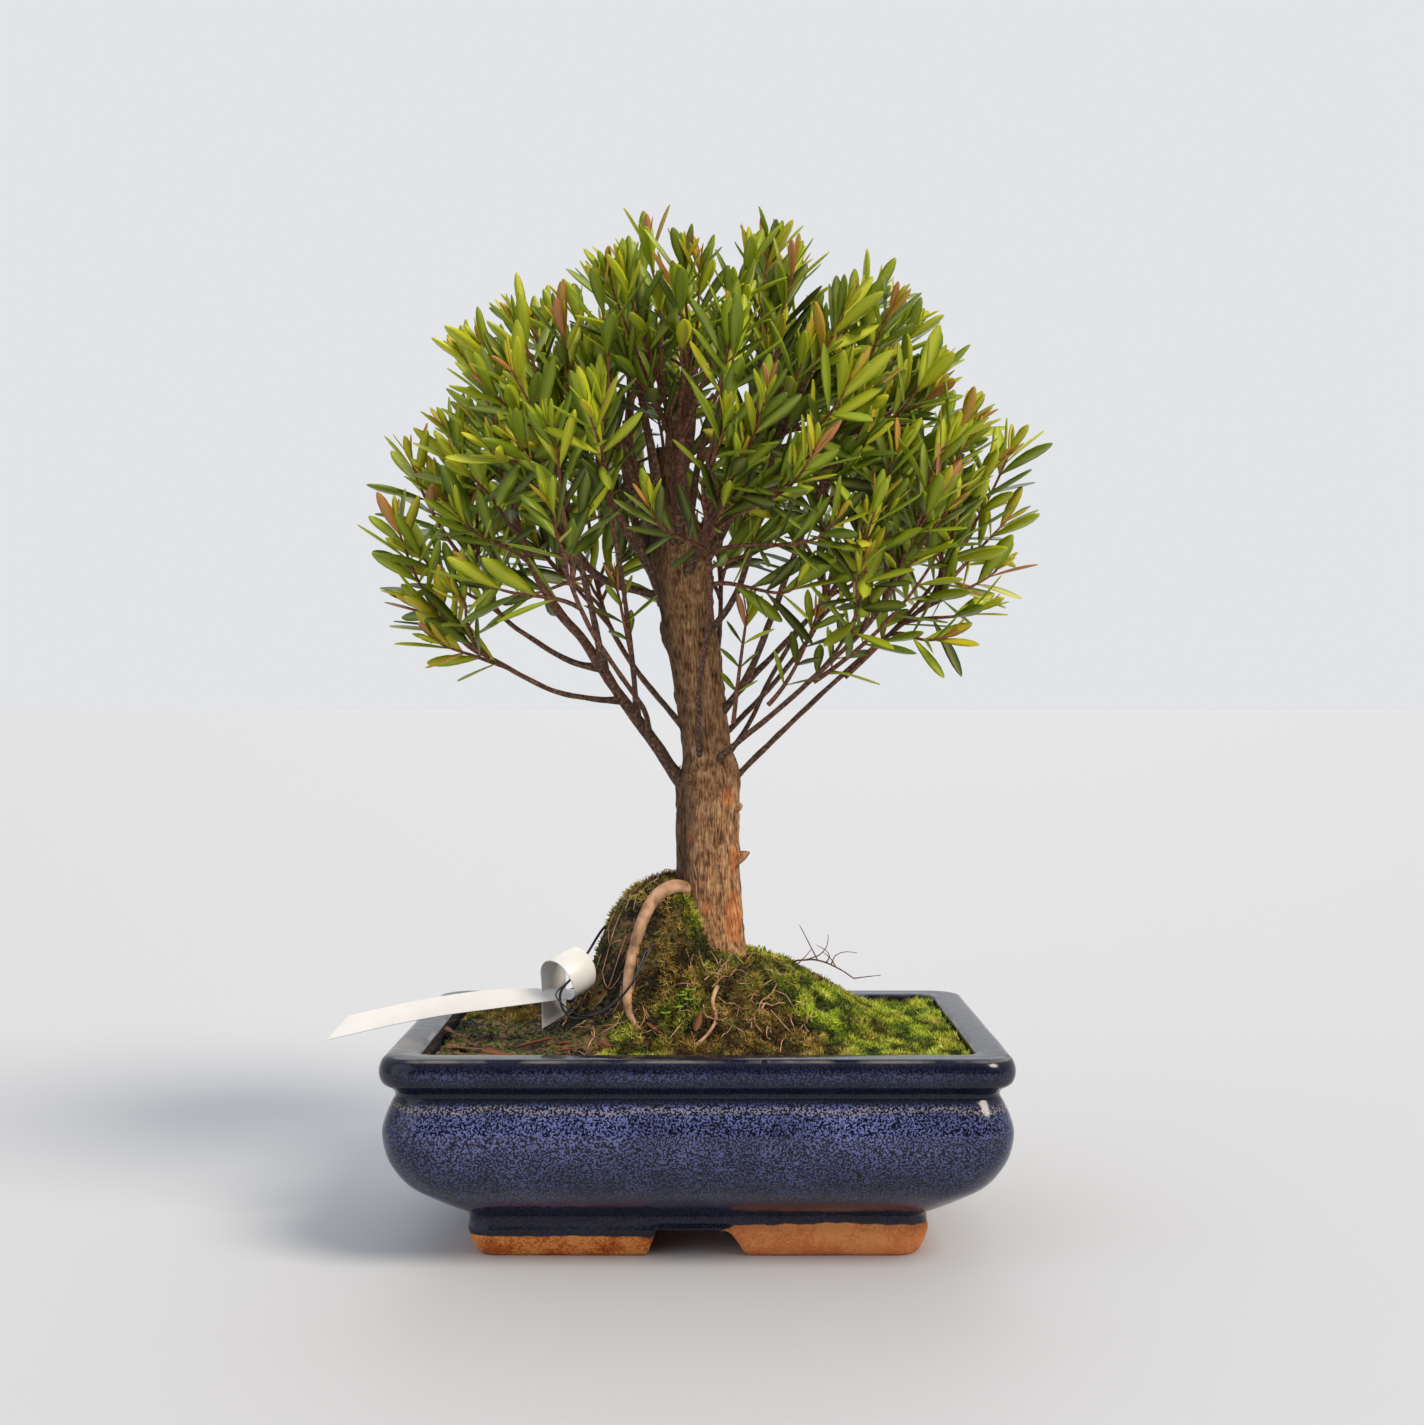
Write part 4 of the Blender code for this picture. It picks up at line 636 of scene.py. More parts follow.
def raised(points):
    """The same points with their heights measured from the floor instead of the pot's top edge."""
    return [(x, y, POT_HEIGHT + z, *radius) for x, y, z, *radius in points]


def with_radius(points, start, end):
    """Adds to each point a radius that falls from start to end along the way."""
    spans = np.linalg.norm(np.diff(np.array(points), axis=0), axis=1)
    along = np.concatenate([[0], np.cumsum(spans)]) / spans.sum()
    return [(*p, start + (end - start) * t) for p, t in zip(points, along)]


class Rods:
    """Round rods along routes, gathered into one mesh. Each vertex carries the values given for its rod."""

    def __init__(self):
        self.verts, self.faces, self.values = [], [], {}

    def add(self, route, sides, shape=None, **values):
        """Adds a rod along (x, y, z, radius) points. shape may change the radius by angle and place."""
        points, radii = route[:, :3], route[:, 3]
        ways = np.gradient(points, axis=0)
        ways /= np.linalg.norm(ways, axis=1)[:, None]
        side = np.cross(ways[0], (0.31, 0.95, 0.05))
        angles = np.arange(sides) * 2 * np.pi / sides
        first = len(self.verts)
        for k, (point, way, radius) in enumerate(zip(points, ways, radii)):
            side = side - way * side.dot(way)
            side /= np.linalg.norm(side)
            across = np.cross(way, side)
            reach = np.full(sides, radius)
            if shape:
                reach = np.array([shape(angle, point, radius) for angle in angles])
            ring = point + reach[:, None] * (np.cos(angles)[:, None] * side + np.sin(angles)[:, None] * across)
            self.verts.extend(ring)
            if k:
                low = first + (k - 1) * sides
                self.faces.extend((low + a, low + (a + 1) % sides, low + sides + (a + 1) % sides, low + sides + a)
                                  for a in range(sides))
        last = first + (len(points) - 1) * sides
        self.verts.extend([points[0], points[-1]])
        start, end = last + sides, last + sides + 1
        self.faces.extend((start, first + (a + 1) % sides, first + a) for a in range(sides))
        self.faces.extend((end, last + a, last + (a + 1) % sides) for a in range(sides))
        for key, value in values.items():
            value = np.broadcast_to(np.asarray(value, float), len(points))
            spread = np.concatenate([np.repeat(value, sides), [value[0], value[-1]]])
            self.values.setdefault(key, []).append(spread)

    def make(self, name, **values):
        """The object. values adds numbers for every vertex to those that the rods brought."""
        values = {**{key: np.concatenate(parts) for key, parts in self.values.items()}, **values}
        return mesh_object(name, self.verts, self.faces, values)


# ---------------------------------------------------------------- geometry nodes
def node_group(name, inputs):
    """An empty Geometry Nodes tree with the named inputs. Returns it with its input and output nodes."""
    group = bpy.data.node_groups.new(name, "GeometryNodeTree")
    group.interface.new_socket("Geometry", in_out="INPUT", socket_type="NodeSocketGeometry")
    group.interface.new_socket("Geometry", in_out="OUTPUT", socket_type="NodeSocketGeometry")
    for label, kind in inputs.items():
        group.interface.new_socket(label, in_out="INPUT", socket_type="NodeSocket" + kind)
    return group, add_node(group, "NodeGroupInput").outputs, add_node(group, "NodeGroupOutput")


def run_nodes(piece, group, values):
    """Runs a tree on a piece, which becomes the plain mesh that comes out."""
    modifier = piece.modifiers.new(group.name, "NODES")
    modifier.node_group = group
    for item in group.interface.items_tree:
        if item.in_out == "INPUT" and item.name in values:
            modifier[item.identifier] = values[item.name]
    bpy.context.view_layer.update()
    bake(piece)
    return piece


def named_value(group, name, kind="FLOAT"):
    """The output of a node that reads a named value from the geometry."""
    return add_node(group, "GeometryNodeInputNamedAttribute", {"Name": name}, data_type=kind).outputs["Attribute"]


def set_shapes(group, given, out, points, kind, turn, scale):
    """Ends a tree: sets one of the given shapes on each point, and gives the whole its finish."""
    shapes = add_node(group, "GeometryNodeCollectionInfo", {"Collection": given["Shapes"],
                                                            "Separate Children": True})
    placed = add_node(group, "GeometryNodeInstanceOnPoints", {
        "Points": points, "Instance": shapes.outputs[0], "Pick Instance": True, "Instance Index": kind,
        "Rotation": turn, "Scale": scale})
    real = add_node(group, "GeometryNodeRealizeInstances", {"Geometry": placed.outputs[0]})
    painted = add_node(group, "GeometryNodeSetMaterial", {"Geometry": real.outputs[0], "Material": given["Finish"]})
    group.links.new(painted.outputs[0], out.inputs[0])
    return group


def placing_tree(name):
    """A tree that sets one shape on each point, turned and sized by the point's own values."""
    group, given, out = node_group(name, {"Shapes": "Collection", "Size": "Float", "Finish": "Material"})
    scale = add_node(group, "ShaderNodeMath", {0: named_value(group, "size"), 1: given["Size"]},
                     operation="MULTIPLY")
    return set_shapes(group, given, out, given["Geometry"], named_value(group, "kind", "INT"),
                      named_value(group, "turn", "FLOAT_VECTOR"), scale.outputs[0])


def scatter_tree(name):
    """A tree that strews three shapes over a surface, thickly where the surface's cover is high."""
    group, given, out = node_group(name, {
        "Shapes": "Collection", "Density": "Float", "Smallest": "Float", "Largest": "Float", "Lean": "Float",
        "Seed": "Int", "Finish": "Material"})
    density = add_node(group, "ShaderNodeMath", {0: named_value(group, "cover"), 1: given["Density"]},
                       operation="MULTIPLY")
    spread = add_node(group, "GeometryNodeDistributePointsOnFaces", {
        "Mesh": given["Geometry"], "Density": density.outputs[0], "Seed": given["Seed"]})
    back = add_node(group, "ShaderNodeMath", {0: given["Lean"], 1: -1.0}, operation="MULTIPLY").outputs[0]
    low = add_node(group, "ShaderNodeCombineXYZ", {0: back, 1: back, 2: -math.pi})
    high = add_node(group, "ShaderNodeCombineXYZ", {0: given["Lean"], 1: given["Lean"], 2: math.pi})
    lean = add_node(group, "FunctionNodeRandomValue", {0: low.outputs[0], 1: high.outputs[0],
                                                       "Seed": given["Seed"]}, data_type="FLOAT_VECTOR")
    turn = add_node(group, "FunctionNodeRotateRotation", {0: spread.outputs["Rotation"], 1: lean.outputs[0]},
                    rotation_space="LOCAL")
    size = add_node(group, "FunctionNodeRandomValue", {2: given["Smallest"], 3: given["Largest"],
                                                       "Seed": given["Seed"]}, data_type="FLOAT")
    shade = add_node(group, "FunctionNodeRandomValue", {2: 0.0, 3: 1.0, "Seed": 5}, data_type="FLOAT")
    kind = add_node(group, "FunctionNodeRandomValue", {4: 0, 5: 2, "Seed": 9}, data_type="INT")
    kept = add_node(group, "GeometryNodeStoreNamedAttribute", {
        "Geometry": spread.outputs["Points"], "Name": "shade", "Value": shade.outputs[1]},
        data_type="FLOAT", domain="POINT")
    return set_shapes(group, given, out, kept.outputs[0], kind.outputs[2], turn.outputs[0], size.outputs[1])


def shape_set(name, objects):
    """A collection outside the scene that holds the shapes to be repeated."""
    held = bpy.data.collections.new(name)
    for obj in objects:
        bpy.context.scene.collection.objects.unlink(obj)
        held.objects.link(obj)
    return held


def drop_shapes(held):
    for obj in list(held.objects):
        bpy.data.objects.remove(obj)
    bpy.data.collections.remove(held)


# ---------------------------------------------------------------- pot
def around(half_length, half_depth, radius, columns):
    """The points of a rounded rectangle, one for each column."""
    points = []
    for (sx, sy), quarter, (share_x, share_y) in columns:
        angle = math.radians(90 * quarter)
        points.append((sx * (half_length - radius) * share_x + radius * math.cos(angle),
                       sy * (half_depth - radius) * share_y + radius * math.sin(angle)))
    return points


def pot_columns(step):
    """Where each column stands: its corner's signs, its angle in quarter turns, its share along each side."""
    corner_steps = 12
    columns = []
    for quarter, signs in enumerate([(1, 1), (-1, 1), (-1, -1), (1, -1)]):
        for k in range(corner_steps + 1):
            columns.append((signs, quarter + k / corner_steps, (1.0, 1.0)))
        along_x = quarter % 2 == 0
        count = round(2 * (POT_HALF_LENGTH if along_x else POT_HALF_DEPTH) / step)
        for k in range(1, count):
            share = 1.0 - 2.0 * k / count
            columns.append((signs, quarter + 1, (share, 1.0) if along_x else (1.0, share)))
    return columns


def smoothstep(low, high, value):
    t = min(1.0, max(0.0, (value - low) / (high - low)))
    return t * t * (3 - 2 * t)


def foot_lift(x, y):
    """How far the foot's bottom is raised at this place, to leave the gap between two feet."""
    if abs(y) > abs(x) - (POT_HALF_LENGTH - POT_HALF_DEPTH):
        away, half_gap, slope = abs(x), FRONT_GAP / 2, 0.0035 if x * y > 0 else 0.0085
    else:
        away, half_gap, slope = abs(y), SIDE_GAP / 2, 0.004
    return GAP_HEIGHT * (1.0 - smoothstep(half_gap - slope, half_gap + 0.002, away))


class BONSAI_OT_pot(bpy.types.Operator):
    """Build the glazed pot with its rolled rim and its four bare clay feet"""
    bl_idname = "bonsai.pot"
    bl_label = "Pot"

    def execute(self, context):
        pot = context.scene.bonsai_pot
        columns = pot_columns(pot.column)
        sections = FOOT_SECTION + [tuple(row) for row in smooth_route(BODY_SECTION, SECTION_STEP)]
        verts, faces = [], []
        for inset, z, radius in sections:
            for x, y in around(POT_HALF_LENGTH - inset, POT_HALF_DEPTH - inset, radius, columns):
                lift = foot_lift(x, y) if z < GAP_HEIGHT else 0.0
                height = max(z, lift + (z - lift) * 0.25)
                wobble = noise.noise(Vector((x, y, z)) * 30.0) * 0.0005
                verts.append((x + wobble * x / POT_HALF_LENGTH, y + wobble * y / POT_HALF_DEPTH, height))
        count = len(columns)
        for low in range(0, (len(sections) - 1) * count, count):
            for a in range(count):
                b = (a + 1) % count
                faces.append((low + a, low + b, low + count + b, low + count + a))
        top, under = (len(sections) - 1) * count, len(verts)
        verts += [(0.0, 0.0, FOOT_SECTION[0][1]), (0.0, 0.0, sections[-1][1])]
        faces += [(under, (a + 1) % count, a) for a in range(count)]
        faces += [(under + 1, top + a, top + (a + 1) % count) for a in range(count)]
        # The underside and the inside below the soil were never dipped in glaze.
        dry = [k < 5 or (k > len(sections) - 40 and z < 0.080) for k, (_, z, _) in enumerate(sections)]
        bare = np.concatenate([np.repeat(np.array(dry, float), count), [1.0, 1.0]])
        piece = mesh_object("pot_body", verts, faces, {"bare": bare})
        drills = []
        for x in (-DRAIN_PLACE, DRAIN_PLACE):
            bpy.ops.mesh.primitive_cylinder_add(vertices=40, radius=DRAIN_RADIUS, depth=0.03, location=(x, 0.0, 0.02))
            drills.append(context.object)
            hole = piece.modifiers.new("drain_hole", "BOOLEAN")
            hole.object = drills[-1]
            hole.solver = "EXACT"
        bake(piece).set_sharp_from_angle(angle=math.radians(50))
        for drill in drills:
            bpy.data.objects.remove(drill)
        settle(piece, glazed_stoneware(pot), "glaze", "pot")
        mesh_finish = plain("moulded_plastic_mesh", "#1c1c1e", 0.6, grain=(0.001, 0.0002))
        for side in ("left", "right"):
            paint(frame["nodes"][f"drain_screen_{side}"], mesh_finish)
        return {"FINISHED"}


# ---------------------------------------------------------------- soil and moss
def bell(x, y, x0, y0, left, right, depth, power):
    """A mound of height 1 at (x0, y0), with its own width to the left, to the right and in depth."""
    width = left if x < x0 else right
    r2 = ((x - x0) / width) ** 2 + ((y - y0) / depth) ** 2
    return math.exp(-(r2 ** power))


def ground(x, y):
    """The height of the soil: low at the left end, filled up at the right, with the root ball in the middle."""
    level = SOIL_LEVEL + 0.0040 * (0.5 + 0.5 * math.tanh(x / 0.05))
    mound = 0.036 * bell(x, y, 0.000, 0.002, 0.052, 0.066, 0.052, 1.5)
    shoulder = 0.034 * bell(x, y, -0.018, 0.002, 0.030, 0.024, 0.030, 2.2)
    ripple = 0.0008 * math.sin(130 * x + 2.0) * math.cos(150 * y)
    return level + mound + shoulder + ripple


def root_hollow(x, y):
    """1 in the hollow that the bare root arches over, and 0 away from it."""
    return smoothstep(0.0105, 0.0040, math.hypot(x + 0.0365, y + 0.0270))


def rough_ground(x, y):
    """The soil with its lumps and crumbs. The steep side of the root ball is the roughest."""
    place = Vector((x, y, 0.0))
    steep = smoothstep(0.004, 0.045, ground(x, y) - SOIL_LEVEL - 0.004)
    lumps = noise.noise(place * 90.0) * (0.0010 + 0.0022 * steep)
    crumbs = noise.noise(place * 330.0 + Vector((3, 7, 1))) * (0.0007 + 0.0008 * steep)
    return ground(x, y) + lumps + crumbs - 0.0050 * root_hollow(x, y)


def moss_cover(x, y):
    """How thickly the moss grows here, from 0 to 1."""
    place = Vector((x, y, 0.3))
    patch = 0.5 + 0.9 * noise.noise(place * 55.0)
    right = smoothstep(-0.050, -0.028, x + 0.010 * noise.noise(place * 40.0))
    hollow = max(root_hollow(x, y), smoothstep(0.016, 0.006, math.hypot(x + 0.036, (y + 0.018) / 1.4)))
    strip = smoothstep(-0.060, -0.068, y + 0.004 * noise.noise(place * 70.0)) * smoothstep(-0.02, -0.045, x)
    back = smoothstep(0.035, 0.055, y) * 0.7 * patch
    return min(1.0, max(right * (0.45 + 0.55 * patch) * (1.0 - hollow), strip, back))


def moss_cushion(x, y):
    """The rounded cushions that moss grows in, about 8 mm wide: 1 on top and 0 in the dips between, which the moss's
    finish paints in shade.
    """
    cell = noise.noise(Vector((x, y, 4.1)) * 120.0)
    return smoothstep(-0.30, 0.35, cell + 0.4 * noise.noise(Vector((x, y, 0.7)) * 300.0))


def moss_lush(x, y):
    """How green the moss is, from brown on the mound's front to bright green at the right end."""
    place = Vector((x, y, 1.7))
    right = smoothstep(0.020, 0.046, x) * (0.70 + 0.9 * noise.noise(place * 75.0))
    strip = smoothstep(-0.058, -0.066, y) * smoothstep(-0.005, -0.030, x)
    brown = smoothstep(0.034, 0.018, math.hypot((x - 0.030) / 1.3, (y + 0.062) / 0.8))
    patchy = 0.16 + 1.2 * noise.noise(place * 42.0)
    return min(1.0, max(0.0, max(right, strip, patchy) - 0.80 * brown + 0.45 * noise.noise(place * 160.0)))


def inside_corner(x, y):
    """The place itself, or the nearest one inside the rounded corner of the pot's inner wall."""
    over_x, over_y = abs(x) - (SOIL_HIGH[0] - SOIL_CORNER), abs(y) - (SOIL_HIGH[1] - SOIL_CORNER)
    reach = math.hypot(over_x, over_y)
    if min(over_x, over_y) <= 0 or reach <= SOIL_CORNER:
        return x, y
    pull = SOIL_CORNER / reach
    return (math.copysign(SOIL_HIGH[0] - SOIL_CORNER + over_x * pull, x),
            math.copysign(SOIL_HIGH[1] - SOIL_CORNER + over_y * pull, y))


def ground_mesh(name, cell, low, high):
    """A closed block whose top follows the soil, from low to high in plan, rounded at the pot's corners."""
    nx, ny = (max(2, round((high[axis] - low[axis]) / cell)) for axis in (0, 1))
    verts, values = [], {"cover": [], "lush": [], "cushion": []}
    for j in range(ny + 1):
        for i in range(nx + 1):
            x, y = inside_corner(low[0] + (high[0] - low[0]) * i / nx, low[1] + (high[1] - low[1]) * j / ny)
            cover, cushion = moss_cover(x, y), moss_cushion(x, y)
            verts.append((x, y, rough_ground(x, y) + 0.0026 * (cushion - 0.4) * cover))
            for numbers, number in zip(values.values(), (cover, moss_lush(x, y), cushion)):
                numbers.append(number)
    row, total = nx + 1, len(verts)
    faces = [(j * row + i, j * row + i + 1, (j + 1) * row + i + 1, (j + 1) * row + i)
             for j in range(ny) for i in range(nx)]
    rim = list(range(nx)) + [j * row + nx for j in range(ny)]
    rim += [ny * row + i for i in range(nx, 0, -1)] + [j * row for j in range(ny, 0, -1)]
    skirt = {v: total + k for k, v in enumerate(rim)}
    verts += [(*verts[v][:2], SOIL_LEVEL - 0.010) for v in rim]
    faces += [(a, skirt[a], skirt[b], b)[::-1] for a, b in zip(rim, rim[1:] + rim[:1])]
    faces.append(tuple(skirt[v] for v in reversed(rim)))
    return mesh_object(name, verts, faces, {key: numbers + [0.0] * len(rim) for key, numbers in values.items()})


def sprig_shapes():
    """Three sprigs of moss of height 1, each a few narrow leaves that stand in a whorl."""
    made = []
    for k, (leaves, spread) in enumerate(((4, 0.50), (4, 0.85), (3, 0.30))):
        bm = bmesh.new()
        for leaf in range(leaves):
            angle = 2 * math.pi * leaf / leaves + k
            tilt = spread * (0.8 + 0.4 * (leaf % 2))
            bmesh.ops.create_cone(bm, segments=3, radius1=0.16, radius2=0.0, depth=1.0, cap_ends=True,
                                  matrix=Matrix.Rotation(angle, 4, "Z") @ Matrix.Rotation(tilt, 4, "Y")
                                  @ Matrix.Translation((0, 0, 0.42)))
        made.append(solid_object(f"sprig_{k}", bm))
    return made


def crumb_shapes():
    """Three crumbs of radius 1, each a battered ball."""
    draw = random.Random(11)
    made = []
    for k in range(3):
        bm = bmesh.new()
        bmesh.ops.create_icosphere(bm, subdivisions=1, radius=1.0)
        for vert in bm.verts:
            vert.co = Vector((vert.co.x * 1.2, vert.co.y * 0.85, vert.co.z * 0.7)) * draw.uniform(0.7, 1.15)
        made.append(solid_object(f"crumb_{k}", bm))
    return made


class BONSAI_OT_soil(bpy.types.Operator):
    """Build the soil with the root ball that stands out of it, and the loose crumbs on top"""
    bl_idname = "bonsai.soil"
    bl_label = "Soil"

    def execute(self, context):
        settings = context.scene.bonsai_ground
        earth = damp_soil()
        settle(ground_mesh("soil_surface", settings.cell, *SOIL_BED), earth, "soil", "soil")
        shapes = shape_set("crumb_shapes", crumb_shapes())
        bed = ground_mesh("soil_crumbs", CRUMB_CELL, *SOIL_BED)
        # Crumbs lie thickest where there is no moss. Twice the even density makes up for where they lie thin.
        for item in bed.data.attributes["cover"].data:
            item.value = max(0.12, 1.0 - item.value)
        (left, front), (right, back) = SOIL_BED
        crumbs = run_nodes(bed, scatter_tree("strew_crumbs"), {
            "Shapes": shapes, "Density": settings.crumbs / ((right - left) * (back - front)) * 2.0,
            "Smallest": 0.0004, "Largest": 0.0014, "Lean": 3.0, "Seed": 3, "Finish": earth})
        settle(crumbs, earth, "soil")
        drop_shapes(shapes)
        return {"FINISHED"}


class BONSAI_OT_moss(bpy.types.Operator):
    """Strew the sprigs of moss over the mound, the right end and the left front edge"""
    bl_idname = "bonsai.moss"
    bl_label = "Moss"

    def execute(self, context):
        settings = context.scene.bonsai_ground
        (left, front), (right, back) = SOIL_BED
        patches = {"moss_on_mound": (MOUND_LEFT, 0.0, "moss_mound"), "moss_on_slope": (0.0, MOUND_RIGHT),
                   "moss_on_right": (MOUND_RIGHT, right, "moss_carpet"),
                   "moss_at_edge": (left, MOUND_LEFT, "moss_strip")}
        finish = living_moss()
        group = scatter_tree("grow_moss")
        shapes = shape_set("sprig_shapes", sprig_shapes())
        for name, (start, end, *nodes) in patches.items():
            bed = ground_mesh(name, MOSS_CELL, (start, front), (end, back))
            cover = bed.data.attributes["cover"].data
            area = sum(face.area * cover[face.vertices[0]].value for face in bed.data.polygons)
            piece = run_nodes(bed, group, {
                "Shapes": shapes, "Density": min(settings.sprigs / area, SPRIG_LIMIT),
                "Smallest": settings.sprig * 0.45, "Largest": settings.sprig, "Lean": 0.5, "Seed": 4,
                "Finish": finish})
            settle(piece, finish, "moss", *nodes)
        drop_shapes(shapes)
        return {"FINISHED"}


# ---------------------------------------------------------------- trunk, limbs and roots
def trunk_shape(angle, point, radius):
    """The trunk's surface: long furrows, flaking fibres, and a few knots where limbs were cut off."""
    turned = Vector((math.cos(angle), math.sin(angle), 0.0))
    furrows = noise.noise(turned * 2.6 + Vector((0, 0, point[2] * 22.0))) * 0.080
    fibres = noise.noise(turned * 9.0 + Vector((5, 0, point[2] * 55.0))) * 0.055
    flakes = noise.noise(turned * 22.0 + Vector((0, 9, point[2] * 170.0))) * 0.030
    reach = radius * (1.0 + furrows + fibres + flakes)
    for height, side, size, width in TRUNK_KNOTS:
        away = math.atan2(math.sin(angle - side), math.cos(angle - side)) * radius
        rise = point[2] - POT_HEIGHT - height
        reach += size * math.exp(-(away ** 2 + rise ** 2) / width ** 2)
    return reach


def loose_fibres(draw):
    """Loose fibres of bark, 4 to 11 mm long, that stand a little off the trunk, as routes with radii."""
    axis = smooth_route(raised(TRUNK), 0.0018)
    for _ in range(FIBRES):
        angle, slant = draw.uniform(0, 2 * math.pi), draw.gauss(0, 0.022)
        low, count = draw.randrange(18, len(axis) - 12), draw.randrange(3, 8)
        thick, lift = draw.uniform(0.00024, 0.00062), draw.uniform(0.0, 0.0006)
        fibre = []
        for k, row in enumerate(axis[low:low + count]):
            share = k / (count - 1)
            turned = angle + slant * k
            reach = trunk_shape(turned, row[:3], row[3]) + lift * share
            across = math.cos(turned) * TRUNK_LEFT + math.sin(turned) * TRUNK_FRONT
            fibre.append((*(row[:3] + reach * across), thick * (0.35 + 0.65 * math.sin(math.pi * share))))
        yield np.array(fibre)


def bark_marks(verts):
    """How far each vertex of the trunk is peeled, and how much painted shade it takes: on the left, away from the
    light, and high up, in the crown's shadow, with upright streaks of darker bark.
    """
    axis = smooth_route(raised(TRUNK), 0.0030)
    peel, dark = np.zeros(len(verts)), np.zeros(len(verts))
    for k, (x, y, z) in enumerate(verts):
        middle = axis[int(np.argmin(np.abs(axis[:, 2] - z)))]
        ragged = 0.45 * noise.noise(Vector((x * 420, y * 420, z * 260)))
        rise = z - POT_HEIGHT
        for spot_x, spot_z, width, height in PEEL_SPOTS:
            away = math.hypot((x - spot_x) / width, (rise - spot_z) / height) + ragged
            peel[k] = max(peel[k], smoothstep(1.0, 0.72, away) if y < 0 else 0.0)
        # Painted shade on the trunk's left side and the crown's painted shadow high up. The streaks are the bark's
        # own.
        left, high = smoothstep(-0.001, -0.012, x - middle[0]), smoothstep(0.195, 0.235, rise)
        streak = noise.noise(Vector((x * 160, y * 160, z * 16)))
        dark[k] = min(0.90, 0.66 * left + 0.66 * high + 0.20 * streak)
    return {"peel": peel, "dark": np.clip(dark, 0, 1)}


class BONSAI_OT_trunk(bpy.types.Operator):
    """Build the trunk with its furrowed bark, knots and peeled patches"""
    bl_idname = "bonsai.trunk"
    bl_label = "Trunk"

    def execute(self, context):
        rods = Rods()
        rods.add(smooth_route(raised(TRUNK), 0.0009), 132, trunk_shape, tone=0.0)
        draw = random.Random(31)
        for fibre in loose_fibres(draw):
            rods.add(fibre, 5, tone=draw.uniform(0.0, 0.75))
        for stub in TRUNK_STUBS:
            rods.add(smooth_route(raised(stub), 0.0010), 12, limb_shape, tone=0.0)
        settle(rods.make("trunk_bark", **bark_marks(rods.verts)), fibrous_bark(), "trunk_bark", "trunk")
        return {"FINISHED"}


def limb_route(name, step):
    start, end, points = LIMBS[name]
    return smooth_route(with_radius(raised(points), start, end), step)


def limb_shape(angle, point, radius):
    """A limb's surface: slight swellings where leaves once grew."""
    knobs = noise.noise(Vector(point) * 130.0 + Vector((math.cos(angle), 0, 0)))
    return radius * (1.0 + 0.22 * knobs)


def crown_stems():
    """The upright stems that crowd together where the trunk was cut, as routes with radii."""
    draw = random.Random(21)
    stems = []
    for k in range(CROWN_STEMS):
        spin = 2 * math.pi * (k + draw.uniform(-0.2, 0.2)) / CROWN_STEMS
        foot = draw.uniform(0.182, 0.206)
        spread = draw.uniform(0.018, 0.040)
        top = foot + draw.uniform(0.060, 0.090)
        stems.append(raised([
            (STEM_MIDDLE[0] + STEM_CIRCLE * math.cos(spin) + spread * out * math.cos(spin + turn),
             STEM_MIDDLE[1] + STEM_CIRCLE * math.sin(spin) + spread * out * math.sin(spin + turn), height, radius)
            for out, turn, height, radius in ((0.0, 0.0, foot, 0.0034), (0.18, 0.0, foot + 0.016, 0.0028),
                                              (0.55, 0.2, (foot + top) / 2, 0.0021), (1.0, 0.0, top, 0.0012))]))
    return stems


class BONSAI_OT_limbs(bpy.types.Operator):
    """Build the limbs, from the trunk to where the leafy shoots begin"""
    bl_idname = "bonsai.limbs"
    bl_label = "Limbs"

    def execute(self, context):
        rods = Rods()
        for name in LIMBS:
            route = limb_route(name, 0.0025)
            along = np.linspace(0.0, 1.0, len(route))
            # The base swells where it joins the wood that carries it.
            route[:, 3] *= 1.0 + 0.55 * np.exp(-(along / 0.08) ** 2)
            rods.add(route, 12, limb_shape, youth=0.45 * along)
        for stem in crown_stems():
            route = smooth_route(stem, 0.0025)
            rods.add(route, 12, limb_shape, youth=np.linspace(0.0, 0.30, len(route)))
        nodes = [node for node in frame["nodes"] if node.startswith("limb_") or node == "leader"]
        settle(rods.make("limb_bark"), young_bark(), "branch_bark", *nodes)
        return {"FINISHED"}


# ---------------------------------------------------------------- foliage
def open_below(x, y):
    """The lowest height of a shoot's tip here, above the pot: the dome is hollow, and open in front of the trunk."""
    out = math.hypot(x - TRUNK_X, y * 1.05) / 0.130
    floor = 0.262 - 0.092 * min(1.0, out) ** 1.6
    if x > 0.045:
        floor = max(floor, 0.155 + 0.95 * (x - 0.045))
    elif x < -0.085:
        floor = max(floor, 0.168 + 0.80 * (-0.085 - x))
    notch = max(0.0, 1.0 - abs(x + 0.010) / 0.052)
    return max(floor, (0.170 + 0.125 * notch) if y < 0.02 else (0.165 + 0.075 * notch))


def crown_tips(count, draw):
    """Tips spread evenly over the crown's dome, most on the outside and some further in."""
    golden = math.pi * (3.0 - math.sqrt(5.0))
    tips, k = [], 0
    while len(tips) < count:
        rise = -0.42 + 1.40 * ((k * 0.7548776662) % 1.0)
        level = (1.0 - abs(rise) ** 2.1) ** (1 / 2.1)
        depth = 1.0 - 0.40 * draw.random() ** 1.7
        spin = golden * k + draw.uniform(-0.12, 0.12)
        half_z = CROWN_OVER if rise > 0 else CROWN_UNDER
        x, y, z = (CROWN_MIDDLE[0] + CROWN_HALF[0] * level * depth * math.cos(spin),
                   CROWN_MIDDLE[1] + CROWN_HALF[1] * level * depth * math.sin(spin),
                   CROWN_MIDDLE[2] + half_z * rise * depth)
        k += 1
        # Low on the right only every other shoot is there.
        thinned = x > 0.040 and z < 0.212 and k % 2
        if z > open_below(x, y) and not thinned:
            tips.append((x, y, z))
    return [Vector(tip) for tip in raised(tips + STRAY_TIPS)]


def bezier(points, t):
    a, b, c, d = points
    return a * (1 - t) ** 3 + b * 3 * t * (1 - t) ** 2 + c * 3 * t * t * (1 - t) + d * t ** 3


